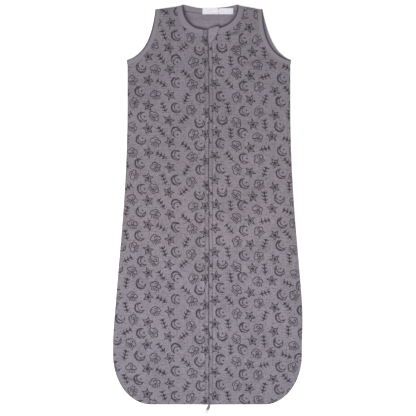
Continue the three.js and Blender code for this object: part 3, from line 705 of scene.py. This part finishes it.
def fold_lines(x, up):
    """Height of the folds left in the cloth: each is a bell curve across its line, and
    fades in over the first part of its length and out over the last."""
    height = np.zeros_like(x)
    for start, end, width, rise in FOLDS:
        start, way = np.array(start), np.subtract(end, start)
        length = np.linalg.norm(way)
        along = ((x - start[0]) * way[0] + (up - start[1]) * way[1]) / length**2
        off = ((x - start[0]) * way[1] - (up - start[1]) * way[0]) / length
        fade = smooth(along, -0.15, 0.35) * smooth(1 - along, -0.15, 0.35)
        height = height + rise * fade * np.exp(-((off / width) ** 2))
    return height


def crease_shade(x, up):
    """How much painted shade darkens the cloth in a fold: in step with the slope of the
    fold's side that falls towards the neck, up to a limit."""
    fall = fold_lines(x, up - 0.0005) - fold_lines(x, up + 0.0005)
    return np.clip(CREASE_SLOPE * fall, 0, CREASE_DARKEST)


def front_height(x, up, inset=0.0):
    """Height of the front's outer face: from the seam up to a plane that climbs from the
    hem to the neck, with the cloth's unevenness away from the seams and the zip."""
    row = shoulder_row(x, up)
    seam = seam_height(x, up)
    hem = ZIP_ROLL + (HEM_ROLL - ZIP_ROLL) * smooth(np.abs(x), 0.014, 0.030)
    fill = swell(x, up, inset, FRONT_ROLL, hem)
    plane = TOP_AT_HEM + (TOP_AT_NECK - TOP_AT_HEM) * row / LENGTH - inset
    free = smooth(np.abs(x), 0.012, 0.034) * smooth(row, 0, 0.02) * smooth(LENGTH - row, 0, 0.03)
    uneven = FRONT_UNEVEN * rumple(x, up) + fold_lines(x, up)
    return seam + (plane - seam) * fill + uneven * free * fill


def front_neck(grown, count=60):
    """Right half of the front's neck edge, grown outwards by an allowance."""
    return neck_curve(NECK_HALF, FRONT_NECK_DEPTH, NECK_ROUNDNESS, grown, count)


def beyond(line, across):
    """The part of a line that lies further across than a distance, starting on it."""
    height = np.interp(across, line[:, 0], line[:, 1])
    return np.concatenate([[[across, height]], line[line[:, 0] > across + 1e-6]])


def stray(up):
    """How far the band and its stitches stray sideways up the bag: two sine waves."""
    return 0.0004 * np.sin(up * 21) + 0.0002 * np.sin(up * 57 + 1)


def front_points(side, columns, rows):
    """A front panel's net: the band beside the zip, column by column, then a patch from
    the band to the side seam."""
    neck = beyond(front_neck(UNDER_BINDING), BAND_END)
    inner = np.array([[BAND_END, 0.0], neck[0]])
    plan = half_panel(inner, neck, 0.0, UNDER_BINDING, columns, rows)
    share = plan[:, :1, 1] / plan[-1, 0, 1]
    off, rise = BAND.T[:, None]
    top = BAND_TOP - (BAND_TOP - neck[0, 1]) * smooth(off, 0.008, 0.0155)
    up = share * top + TURN_IN * (rise < -0.0003) * (1 - share)
    slit = SLIT_HALF + (SLIDER_SLIT_HALF - SLIT_HALF) * (1 - smooth(up, 0.004, SLIDER_END))
    x = slit + off * (BAND_END - slit) / (BAND_END - SLIT_HALF)
    low, high = NECK_EDGE - np.array(BAND_FLAT)
    tame = 1 - smooth(up, low, high) * smooth(off, 0.0078, 0.0095)
    pucker = PUCKER * np.sin(up * 2 * np.pi / PUCKER_PITCH + 2 * np.sin(up * 40))
    lift = (rise + pucker * smooth(off, 0.002, 0.007)) * tame
    band_z = front_height(x, up) + lift
    panel = np.stack([plan[..., 0] * side, plan[..., 1],
                      front_height(plan[..., 0] * side, plan[..., 1])], -1)
    moved = x + stray(up) * side * (1 - smooth(off, 0.010, 0.0156))
    band = np.stack([moved * side, up, band_z], -1)
    points = np.concatenate([band, panel], 1)
    points[..., 1] += HEM_Y
    points[..., 2] += SEAM_GAP
    return points


def bend_open(piece):
    """Bakes the piece's placing into its mesh."""
    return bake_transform(piece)


band_run = 1000 * (SLIT_HALF + BAND[0, 0] + run_along(BAND))
ZIP_BAND = (band_run[6], band_run[14], band_run[18])  # fold, topstitching and ridge
for side, name in SIDES:
    points = front_points(side, FRONT_COLUMNS, FRONT_ROWS)
    uv = cloth_uv(points) if side > 0 else cloth_uv(points * (-1, 1, 1)) * (-1, 1)
    cloth = muslin("printed_muslin_" + name, (4, 9 + 5 * side), band=ZIP_BAND)
    piece = net_object("front_cloth_" + name, points, cloth, uv, CLOTH_THICKNESS, flip=side < 0)
    # Painted shade in the folds, kept in a point attribute that the front's muslin reads.
    crease = piece.data.attributes.new("crease", "FLOAT", "POINT")
    shade = crease_shade(points[..., 0], points[..., 1] - HEM_Y)
    crease.data.foreach_set("value", shade.astype(np.float32).ravel())
    bend_open(piece)
    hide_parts("front_panel_" + name, "front_lapel_" + name,
                "placket_" + name, "placket_foot_" + name)

# ---- Topstitching of the zip bands ----------------------------------------------------
# Two rows of lockstitch in a matching thread, one each side of the slit, from the hem to
# the neck, sunk in the cloth they pull down.
THREAD = linear(104, 98, 107)
STITCH = 0.0026
STITCH_GAP = 0.0007
THREAD_RADIUS = 0.00032
STITCH_LIFT = 0.00042  # of a stitch's middle line above the cloth
STITCH_RINGS, STITCH_SIDES = 7, 6
PATH_POINTS = 500


def stitches(name, path, material):
    """A row of stitches along a path: each is a rod with rounded ends that sink into the
    cloth, a net of seven rings of six points, placed by the path's own direction."""
    run = run_along(path)
    places = np.arange(STITCH_GAP, run[-1] - STITCH, STITCH + STITCH_GAP) + STITCH / 2
    at, ahead = [np.stack([np.interp(places + more, run, path[:, k]) for k in range(3)], 1)
                 for more in (0, STITCH / 2)]
    way = unit(ahead - at)
    across = unit(np.cross((0.0, 0.0, 1.0), way))
    lift = np.cross(way, across)
    at, way, across, lift = [v[:, None, None] for v in (at, way, across, lift)]
    turn = np.linspace(0, 2 * np.pi, STITCH_SIDES, endpoint=False)[:, None]
    share = np.linspace(-1, 1, STITCH_RINGS)[:, None, None]
    thick = THREAD_RADIUS * np.sqrt(np.clip(1.04 - share**2, 0, 1))
    sink = -0.8 * THREAD_RADIUS * share**2
    points = at + (way * (share * STITCH / 2) + across * (thick * np.cos(turn))
                   + lift * (thick * np.sin(turn) + sink))
    number = np.arange(points[..., 0].size).reshape(points.shape[:3])
    number = np.concatenate([number, number[..., :1]], 2)
    faces = squares(number.swapaxes(1, 2))
    faces += number[:, 0, :-1].tolist() + number[:, -1, -2::-1].tolist()
    return smooth_object(name, points, faces, material)


thread, tone = new_material("sewing_thread", 0.7, sheen=0.1)
place = tone.node("TexCoord", out="Object")
strands = tone.node("SeparateXYZ", (), {"Vector": place}, "Y") * 1000
finish_material(thread, place.noise(900.0).mix(linear(92, 86, 95), THREAD),
                strands.wave(0.5), 0.0001)

for side, name in SIDES:
    up = np.linspace(SLIDER_END, NECK_EDGE - 0.002, PATH_POINTS)
    x = side * (SLIT_HALF + STITCH_FROM_SLIT)
    height = front_height(x + 0 * up, up) + STITCH_LIFT
    row = np.stack([x + stray(up), up + HEM_Y, height], 1)
    seam = stitches("zip_topstitch_" + name, lie(row), thread)
    bend_open(seam)

# ---- Lining -------------------------------------------------------------------------
# Plain muslin a size smaller than the outside and sewn to it in the same seams. The
# fronts' linings stop at the zip tape. It shows in the neck, and all over when opened.
LINING_INSET = 0.0021
LINING_THICKNESS = 0.0009
# The lining's colours are painted lighter than the outside's muslin, as painted light where it
# lies in shade in the neck.
LINING_LIGHT = linear(155, 147, 158)
LINING_DARK = linear(134, 127, 138)
LINING_EDGE = 0.0153
LINING_LIFT = 0.0009
NECK_PUFF = 0.0125  # how far the loose back lining stands up in the neck
# Down from the back's neck edge, where that starts, is full, starts to end and ends, and
# out from the middle, where it fades.
PUFF_FROM, PUFF_FULL, PUFF_FADE, PUFF_END = 0.009, 0.034, 0.08, 0.20
PUFF_OUT = (0.055, 0.110)
BACK_LINING_NET, FRONT_LINING_NET = (44, 170), (40, 190)  # columns and rows


def plain_muslin(name):
    """The lining's muslin, with no print."""
    return muslin(name, (0, 0), False, LINING_LIGHT, LINING_DARK)


lining_cloth = plain_muslin("lining_muslin")
plan = both_halves(half_panel(back_middle + ((0, LINING_INSET), (0, 0)), back_neck,
                              LINING_INSET, UNDER_BINDING, *BACK_LINING_NET))
x, up = plan[..., 0], plan[..., 1]
from_neck = LENGTH - BACK_NECK_DEPTH - up
puff = smooth(from_neck, PUFF_FROM, PUFF_FULL) * (1 - smooth(np.abs(x), *PUFF_OUT))
puff = puff * smooth(PUFF_END - from_neck, 0, PUFF_END - PUFF_FADE)
height = back_height(x, up, LINING_INSET) + LINING_LIFT - SEAM_GAP + NECK_PUFF * puff
points = np.stack([x, up + HEM_Y, height], -1)
back_lining = net_object("back_lining_cloth", points, lining_cloth, cloth_uv(points),
                         LINING_THICKNESS)
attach(back_lining, "root")
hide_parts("back_lining")

for side, name in SIDES:
    neck = beyond(front_neck(UNDER_BINDING), LINING_EDGE)
    inner = np.array([[LINING_EDGE, LINING_INSET], neck[0]])
    plan = half_panel(inner, neck, LINING_INSET, UNDER_BINDING, *FRONT_LINING_NET)
    x, up = plan[..., 0] * side, plan[..., 1]
    points = np.stack([x, up + HEM_Y, front_height(x, up, LINING_INSET) + SEAM_GAP], -1)
    piece = net_object("front_lining_cloth_" + name, points, lining_cloth, cloth_uv(points),
                       LINING_THICKNESS, flip=side < 0)
    bend_open(piece)
    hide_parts("front_lining_" + name, "lapel_lining_" + name)

# ---- Rib bindings -------------------------------------------------------------------
# Strips of rib knit folded over the raw edges of the neck and the armholes and stitched
# down. The neck has a strip on each front and one on the back.
NECK_BINDING = 0.013
ARM_BINDING = 0.011
BINDING_START = 0.0096
END_SLOPE = 0.0052  # how far the strip's outer edge ends below its fold at the shoulder
END_RISE, END_REACH = 0.0012, 0.022  # its fold's rise there, and how far down it starts
KNIT_THICKNESS = 0.0009
ARM_POINTS, NECK_POINTS, NECK_COLUMNS = 110, 140, 90
FRONT_ARM_BOW = {"right": 0.0036, "left": 0.0}  # how far the front's edge draws in
BACK_ARM_BOW = {"right": 0.0052, "left": 0.0016}  # how far the back's edge shows beyond
BACK_ARM_OUTSET = 0.0004
RIB_LIGHT = linear(147, 140, 150)
RIB_DARK = linear(124, 117, 127)
FOLD_SHADE = linear(56, 51, 59)
# Across the strip, from its outer stitched edge round the fold to its inner edge: shares
# of its width from the fold, and heights above the cloth's outer face in millimetres.
STRIP = np.array([
    (1.00, -0.1), (0.985, 0.35), (0.95, 0.62), (0.90, 0.55), (0.87, 0.30), (0.84, 0.55),
    (0.78, 0.85), (0.65, 1.0), (0.50, 1.1), (0.34, 1.15), (0.20, 1.0), (0.10, 0.6),
    (0.03, 0.0), (0.0, -0.8), (0.0, -1.7), (0.03, -2.5), (0.09, -3.2), (0.18, -3.7),
    (0.34, -4.0), (0.55, -4.0), (0.80, -3.9), (0.97, -3.7)])
STRIP = STRIP * (1, 0.001)
MIDDLE_LINE = 7  # the strip's line along which its length is measured


def binding_net(edge, width, height, outside):
    """A strip folded over an edge: at each share of its width the edge grown by that much
    gives the plan, and the cloth's height there, plus the strip's own, gives the rest.
    edge(grown) is a line; outside is 1 where the outer face looks up and -1 below."""
    lines = np.stack([edge(share * width) for share in STRIP[:, 0]], 1)
    x, up = lines[..., 0], lines[..., 1]
    z = np.maximum(height(x, up) + outside * STRIP[:, 1], 0)
    run = run_along(lines[:, MIDDLE_LINE])
    around = run_along(STRIP * (width, 1))
    uv = np.stack(np.broadcast_arrays(run[:, None], around[None]), -1)
    return np.stack([x, up + HEM_Y, z], -1), uv


def rib_knit(name, width, line):
    """Fine rib knit whose ribs cross the strip, with painted shade: a dark line of a
    width in millimetres along the fold of its edge, and a fainter one along its inner edge."""
    material, tone = new_material(name, 0.93, sheen=0.15, specular=0.2)
    s, t = tone.cloth_places()
    ribs = s.wave(1.5) * 0.5 + 0.5
    fuzz = s.grain(t, (0.8, 0.8), 0, 3)
    shade = (ribs * 0.35 + fuzz * 0.9).step(0.2, 1.0)
    colour = shade.mix(RIB_DARK, RIB_LIGHT)
    # Painted shade along the fold of the edge and along the inner edge.
    fold = 1 - abs(t - (width * 1000 + 3.6 - line / 2)).step(line / 2, line / 2 + 0.8)
    around = 1000 * float(run_along(STRIP * (width, 1))[-1])
    seam = t.step(around - 2.4, around - 0.8) * 0.5
    colour = (fold * 0.92).most(seam).mix(colour, FOLD_SHADE)
    return finish_material(material, colour, ribs * 0.5 + fuzz * 0.6, 0.0004)


arm_knit = rib_knit("rib_knit_arm", ARM_BINDING, 4.4)
neck_knit = rib_knit("rib_knit_neck", NECK_BINDING, 4.7)


def bowed_edge(side, bow, outset=0.0):
    """An armhole's edge as a function of how far it is grown, set out of the bag by a
    distance, and drawn into it by half a sine wave along its length."""
    drawn = bow * np.sin(np.linspace(0, np.pi, ARM_POINTS))[:, None]
    return lambda grown: arm_curve(grown - outset + drawn, ARM_POINTS) * (side, 1)


def neck_edge(grown):
    """Right half of the front's neck edge grown outwards by a distance, from beside the zip
    to the shoulder, where it bends so that the strip's end follows the seam."""
    line = beyond(front_neck(grown, NECK_POINTS), BINDING_START)
    slope = np.stack([0 * line[:, 1], smooth(line[:, 1], LENGTH - END_REACH, LENGTH)], 1)
    line = line + slope * (END_RISE - END_SLOPE * grown / NECK_BINDING)
    return spread(line, np.linspace(0, 1, NECK_COLUMNS))


for side, name in SIDES:
    front_edge = bowed_edge(side, FRONT_ARM_BOW[name])
    back_edge = bowed_edge(side, -BACK_ARM_BOW[name], BACK_ARM_OUTSET)
    front, front_uv = binding_net(front_edge, ARM_BINDING, front_height, 1)
    back, back_uv = binding_net(back_edge, ARM_BINDING, back_height, -1)
    piece = net_object("arm_binding_" + name, front, arm_knit, front_uv, KNIT_THICKNESS,
                       flip=side > 0)
    rest = net_object("arm_binding_back_" + name, back, arm_knit, back_uv, flip=side < 0)
    with bpy.context.temp_override(active_object=piece, selected_editable_objects=[piece, rest]):
        bpy.ops.object.join()
    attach(piece, "root")
    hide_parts("armhole_binding_" + name)

    front, front_uv = binding_net(lambda grown: neck_edge(grown) * (side, 1), NECK_BINDING,
                                  front_height, 1)
    piece = net_object("neck_binding_cloth_" + name, front, neck_knit, front_uv,
                       KNIT_THICKNESS, flip=side < 0)
    bend_open(piece)
    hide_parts("neck_binding_" + name)


def back_neck_edge(grown):
    """The back's neck edge from the left shoulder to the right, moved down by a distance."""
    half = back_neck_line(grown, 50)
    return np.concatenate([half[:0:-1] * (-1, 1), half])


points, uv = binding_net(back_neck_edge, NECK_BINDING, back_height, -1)
piece = net_object("neck_binding_cloth_back", points, neck_knit, uv, KNIT_THICKNESS)
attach(piece, "root")
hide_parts("neck_binding_back")

# ---- Zip ----------------------------------------------------------------------------
# A nylon coil zip: two woven tapes, each with a coil of monofilament sewn along its
# edge, a pin and a box at the neck, and an enamelled slider with a flat pierced pull.
ZIP_DEPTH = 0.0025
TAPE_THICKNESS = 0.0007
# Across a tape: distance from the middle and height of its ribs, in millimetres.
TAPE = np.array([(3.3, 0), (3.6, 0.1), (5.5, 0.12), (7.5, 0.05), (9.5, 0.1), (11.5, 0.05),
                 (13.5, 0.1), (14.4, 0.12), (14.7, 0.1), (15.0, 0)]) / 1000
TAPE_ROWS = 330
TAPE_STRAY = 0.00015
COIL_PITCH = 0.0015
COIL_TURN_POINTS = 10
WIRE_RADIUS, WIRE_SIDES = 0.00030, 5
COIL_BACK, COIL_REACH = 0.0029, -0.0005
COIL_HALF_HEIGHT = 0.00085
ZIP_START = 0.0065
ZIP_END = NECK_EDGE - 0.022
TAPE_END = NECK_EDGE - 0.0145


def zip_height(up):
    """Height of the line in which the zip climbs from the hem to the neck."""
    return TOP_AT_HEM + (TOP_AT_NECK - TOP_AT_HEM) * up / LENGTH


tape_cloth, tone = new_material("woven_tape", 0.85, sheen=0.1)
s, t = tone.cloth_places()
twill = (s + t * 0.7).wave(0.9)
cords = s.wave(2.2)
shade = (twill * 0.22 + cords * 0.15 + s.grain(t, (0.4, 0.4))).step(0.2, 0.9)
finish_material(tape_cloth, shade.mix(linear(96, 91, 99), linear(126, 120, 130)),
                twill * 0.5 + cords * 0.4, 0.00025)

nylon, tone = new_material("nylon_coil", 0.42)
place = tone.node("TexCoord", out="Object")
finish_material(nylon, place.noise(350.0).mix(linear(84, 80, 88), linear(112, 107, 116)))

for side, name in SIDES:
    up = np.linspace(ZIP_START, TAPE_END, TAPE_ROWS)[:, None]
    x, up = np.broadcast_arrays(TAPE[:, 0] + TAPE_STRAY * np.sin(up * 60), up)
    z = zip_height(up) - ZIP_DEPTH + TAPE_THICKNESS / 2 + TAPE[:, 1]
    points = np.stack([x * side, up + HEM_Y, z], -1)
    piece = net_object("tape_" + name, points, tape_cloth, cloth_uv(points), TAPE_THICKNESS,
                       flip=side < 0, straight=True)
    bend_open(piece)
    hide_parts("zip_tape_" + name, "tape_foot_" + name)

    # The coil: a flattened helix whose loops reach past the middle, carried as a tube.
    turns = (ZIP_END - ZIP_START) / COIL_PITCH
    angle = np.linspace(0, 2 * np.pi * turns, int(turns * COIL_TURN_POINTS))
    middle, half = (COIL_BACK + COIL_REACH) / 2, (COIL_BACK - COIL_REACH) / 2
    along = ZIP_START + COIL_PITCH * angle / (2 * np.pi) + (COIL_PITCH / 2 if side > 0 else 0)
    line = np.stack([side * (middle + half * np.cos(angle)), along + HEM_Y,
                     zip_height(along) - ZIP_DEPTH + COIL_HALF_HEIGHT * np.sin(angle)], 1)
    way = unit(np.gradient(line, axis=0))
    out = np.stack([side * np.cos(angle), 0 * angle, np.sin(angle)], 1)
    out = unit(out - way * (out * way).sum(1, keepdims=True))
    ring = np.linspace(0, 2 * np.pi, WIRE_SIDES, endpoint=False)
    points = (line[:, None] + WIRE_RADIUS * (out[:, None] * np.cos(ring)[None, :, None]
              + np.cross(way, out)[:, None] * np.sin(ring)[None, :, None]))
    piece = net_object("coil_" + name, points, nylon, wrap=True, flip=True, straight=True)
    bend_open(piece)
    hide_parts("zip_coil_" + name)

# Dark enamel, scuffed all over, and painted paler at the end of the pull.
PULL_PALE_END = (-0.4535, -0.4520)  # along Y, from where it is paler to where it isn't
enamel, tone = new_material("worn_enamel", 0.45, metallic=0.4)
place = tone.node("TexCoord", out="Object")
scuffs = place.noise(700.0, 4.0, 0.65).step(0.52, 0.75)
up = tone.node("SeparateXYZ", (), {"Vector": place}, "Y")
scuffed_and_pale = (scuffs * 0.25 + (1 - up.step(*PULL_PALE_END)) * 0.7).least(1.0)
finish_material(enamel, scuffed_and_pale.mix(linear(80, 77, 85), linear(138, 137, 142)),
                place.noise(900.0, 3.0), 0.00006, 0.5 - scuffed_and_pale * 0.06)


def eased_copy(node, body, material, width=0.00025):
    """A CAD piece with its loose triangles merged and its edges rounded."""
    mesh = frame["nodes"][node].data.copy()
    mesh.name = node + "_eased"
    mesh.materials.clear()
    mesh.materials.append(material)
    mesh.polygons.foreach_set("use_smooth", np.zeros(len(mesh.polygons), bool))
    made = placed(mesh.name, mesh)
    weld = made.modifiers.new("weld", "WELD")
    weld.merge_threshold = 0.00001
    bevel = made.modifiers.new("bevel", "BEVEL")
    bevel.width, bevel.segments = width, 2
    bevel.limit_method, bevel.angle_limit = "ANGLE", math.radians(35)
    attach(made, body)
    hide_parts(node)
    return made


eased_copy("slider_body", "slider", enamel)
pull = eased_copy("pull_tab", "pull", enamel)

# The pull is longer than its plain form, and near the bridge it is almost as wide as below.
# It hangs at an angle, so both are worked out along and across the pull.
PULL_LEAN, PULL_GROWTH, PULL_WIDENING = math.radians(19), 0.0040, 0.62
pivot = next(j["pos_m"] for j in frame["joints"] if j["name"] == "pull_swing")
along_pull = np.array([-math.sin(PULL_LEAN), -math.cos(PULL_LEAN)])
across_pull = np.array([along_pull[1], -along_pull[0]])
places = np.empty(3 * len(pull.data.vertices))
pull.data.vertices.foreach_get("co", places)
places = places.reshape(-1, 3)
run, off = [(places[:, :2] - pivot[:2]) @ way for way in (along_pull, across_pull)]
wider = PULL_WIDENING * smooth(run, 0.003, 0.0065) * (1 - 0.75 * smooth(run, 0.006, 0.016))
longer = PULL_GROWTH * smooth(run, 0.004, 0.020)
places[:, :2] += np.outer(longer, along_pull) + np.outer(off * wider, across_pull)
pull.data.vertices.foreach_set("co", places.ravel())

moulded, tone = new_material("moulded_ends", 0.5)
place = tone.node("TexCoord", out="Object")
finish_material(moulded, place.noise(500.0).mix(linear(112, 107, 116), linear(132, 127, 136)))
eased_copy("insertion_pin", "lapel_left", moulded, 0.0002)
eased_copy("retainer_box", "lapel_right", moulded, 0.0002)

# ---- Chin guard -----------------------------------------------------------------------
# A leaf of folded muslin with a stitched edge, sewn on beside the slit so that it covers
# the end of the zip. It lifts about its outer edge.
GUARD_LOW, GUARD_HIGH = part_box("chin_guard")
GUARD_THICKNESS = 0.0020
GUARD_SLOPE = 0.008  # how far its top falls from the outer side to the slit
GUARD_ROUND = (0.004, 0.006)  # across and up, of its outer corner
GUARD_RINGS, GUARD_POINTS = 16, 90
GUARD_EDGE_ROLL = 0.0016
GUARD_SEAM, GUARD_SEAM_DEPTH, GUARD_SEAM_WIDTH = 0.0035, 0.0005, 0.0007
GUARD_LIFT = 0.0019  # of its underside above the zip's line
DARK_FROM = 0.66  # share of its outline from which the dark edge is wider


def curve(first, bend, last):
    """A quadratic Bezier curve of forty points."""
    t = np.linspace(0, 1, 40)[:, None]
    return ((1 - t) ** 2 * np.array(first) + 2 * t * (1 - t) * np.array(bend)
            + t**2 * np.array(last))


def guard_outline(count):
    """The leaf's edge in plan, from the bottom at the slit round the rounded outer side
    to the top at the slit: two quadratic curves and a straight top."""
    x0, x1 = GUARD_LOW.x, GUARD_HIGH.x
    y0, y1 = GUARD_LOW.y, GUARD_HIGH.y
    side_end, top_end = (x1, y1 - GUARD_ROUND[1]), (x1 - GUARD_ROUND[0], y1)
    belly = curve((x0, y0), (x1 - 0.010, y0 + 0.006), side_end)
    corner = curve(side_end, (x1, y1), top_end)
    slit_end = [(x0, y1 - GUARD_SLOPE)]
    return spread(np.concatenate([belly, corner[1:], slit_end]), np.linspace(0, 1, count))


edge = guard_outline(GUARD_POINTS)
spine_y = np.linspace(GUARD_LOW.y, GUARD_HIGH.y - GUARD_SLOPE, GUARD_POINTS)
spine = np.stack([np.full(GUARD_POINTS, GUARD_LOW.x), spine_y], 1)
share = np.linspace(0, 1, GUARD_RINGS)[:, None, None]
plan = spine[None] + (edge - spine)[None] * share
x, up = plan[..., 0], plan[..., 1] - HEM_Y
inside = np.linalg.norm(plan - edge[None], axis=2)
crown = GUARD_THICKNESS * round_over(inside / GUARD_EDGE_ROLL)
groove = GUARD_SEAM_DEPTH * np.exp(-(((inside - GUARD_SEAM) / GUARD_SEAM_WIDTH) ** 2))
soft = 0.0005 * smooth(inside, 0.004, 0.012) + 0.0002 * rumple(x * 5, up * 5)
base = zip_height(up) + GUARD_LIFT
top = base + np.maximum(crown - groove + soft * (crown / GUARD_THICKNESS), 0)
upper = np.stack([x, plan[..., 1], top], -1)
lower = np.stack([x, plan[..., 1], base], -1)[:-1][::-1]
points = np.concatenate([upper, lower])
guard_cloth = net_object("chin_guard_cloth", points, plain_muslin("guard_muslin"),
                         points[..., :2] - (0, HEM_Y))
# Painted shade: a darker muslin marks the leaf's edge, and is wider on the last part of the
# outline.
guard_cloth.data.materials.append(
    muslin("guard_edge_shade", (0, 0), False, linear(84, 79, 87), linear(66, 61, 69)))
shaded_edge = np.zeros((2 * GUARD_RINGS - 2, GUARD_POINTS - 1), np.int32)
shaded_edge[GUARD_RINGS - 3:GUARD_RINGS - 1, int(GUARD_POINTS * DARK_FROM):] = 1
shaded_edge[GUARD_RINGS - 2] = 1
guard_cloth.data.polygons.foreach_set("material_index", shaded_edge.ravel())
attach(guard_cloth, "guard")
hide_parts("chin_guard")

# ---- Labels -------------------------------------------------------------------------
# Two pieces of white woven satin, bare, sewn side by side into the back of the neck.
satin, tone = new_material("woven_satin", 0.38, sheen=0.2)
s, t = tone.cloth_places()
threads = t.wave(0.45) * 0.5 + s.wave(0.7) * 0.3
cloudy = s.grain(t, (0.15, 0.4), 0, 3)
finish_material(satin, cloudy.step(0.25, 0.75).mix(linear(218, 216, 224), linear(236, 234, 241)),
                threads * 0.4 + cloudy, 0.00018)

LABEL_TUCK = 0.0030  # how much of each label's lower edge is turned under
LABEL_OVER = 0.0010  # how far its upper edge runs under the stitches
LABEL_LIFT, LABEL_CURL = 0.0046, 0.0006
LABEL_THICKNESS = 0.0004
LABEL_COLUMNS, LABEL_ROWS = 44, 26
for node in ("neck_label", "size_label"):
    low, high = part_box(node)
    across = np.linspace(low.x, high.x, LABEL_COLUMNS)
    x, up = np.meshgrid(across, np.linspace(low.y + LABEL_TUCK, high.y + LABEL_OVER,
                                            LABEL_ROWS) - HEM_Y)
    curl = smooth(high.y - HEM_Y - up, 0.006, 0.016) * (1.3 + np.sin(x * 95))
    points = np.stack([x, up + HEM_Y, back_height(x, up) + LABEL_LIFT + LABEL_CURL * curl], -1)
    piece = net_object(node + "_cloth", points, satin, points[..., :2] - (0, HEM_Y),
                       LABEL_THICKNESS)
    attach(piece, "root")
    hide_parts(node)

# ---- Studio -------------------------------------------------------------------------
# A white table that shows as plain white to the camera and keeps the bag's soft shadow,
# under an even white room and one large lamp.
TABLE_SIZE, TABLE_DROP = 8, 0.0004
TABLE_WHITE, TABLE_GLOW = 0.85, 0.6
ROOM_LIGHT = 0.50  # of the room on the bag, as a share of what the camera sees
LAMP_SIZE, LAMP_POWER, LAMP_PLACE = 1.5, 65, (-0.45, -1.0, 2.9)


def seen_rays(tone):
    """1 on rays that come from the camera or leave a shiny surface, and 0 on others."""
    camera_ray, glossy_ray = [tone.node("LightPath", out=f"Is {kind} Ray")
                              for kind in ("Camera", "Glossy")]
    return camera_ray.most(glossy_ray)


bpy.ops.mesh.primitive_plane_add(size=TABLE_SIZE, location=(0, 0, -TABLE_DROP))
floor = bpy.context.object
floor.name = "floor"
white, tone = new_material("white_table", 0.9)
paint = white.node_tree.nodes["Principled BSDF"]
paint.inputs["Base Color"].default_value = (TABLE_WHITE, TABLE_WHITE, TABLE_WHITE, 1)
paint = Tone(white.node_tree, paint.outputs[0])
glow = tone.node("Emission", (), {"Strength": TABLE_GLOW})
lit = tone.node("AddShader", (), {0: paint, 1: glow})
surface = tone.node("MixShader", (), {0: seen_rays(tone), 1: paint, 2: lit})
ending = white.node_tree.nodes["Material Output"]
white.node_tree.links.new(surface.socket, ending.inputs["Surface"])
floor.data.materials.append(white)
floor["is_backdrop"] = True

world = bpy.data.worlds.new("white_room")
world.use_nodes = True
sky = world.node_tree.nodes["Background"]
level = seen_rays(Tone(world.node_tree)) * (1 - ROOM_LIGHT) + ROOM_LIGHT
sky.inputs["Color"].default_value = (1, 1, 1, 1)
world.node_tree.links.new(level.socket, sky.inputs["Strength"])
bpy.context.scene.world = world

lamp_data = bpy.data.lights.new("large_lamp", "AREA")
lamp_data.shape, lamp_data.size = "DISK", LAMP_SIZE
lamp_data.energy = LAMP_POWER
lamp = placed("large_lamp", lamp_data)
lamp.location = LAMP_PLACE
lamp.rotation_euler = (-lamp.location).to_track_quat("-Z", "Y").to_euler()

bpy.context.scene.view_settings.view_transform = "Standard"

# ---- Size ---------------------------------------------------------------------------
low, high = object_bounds()
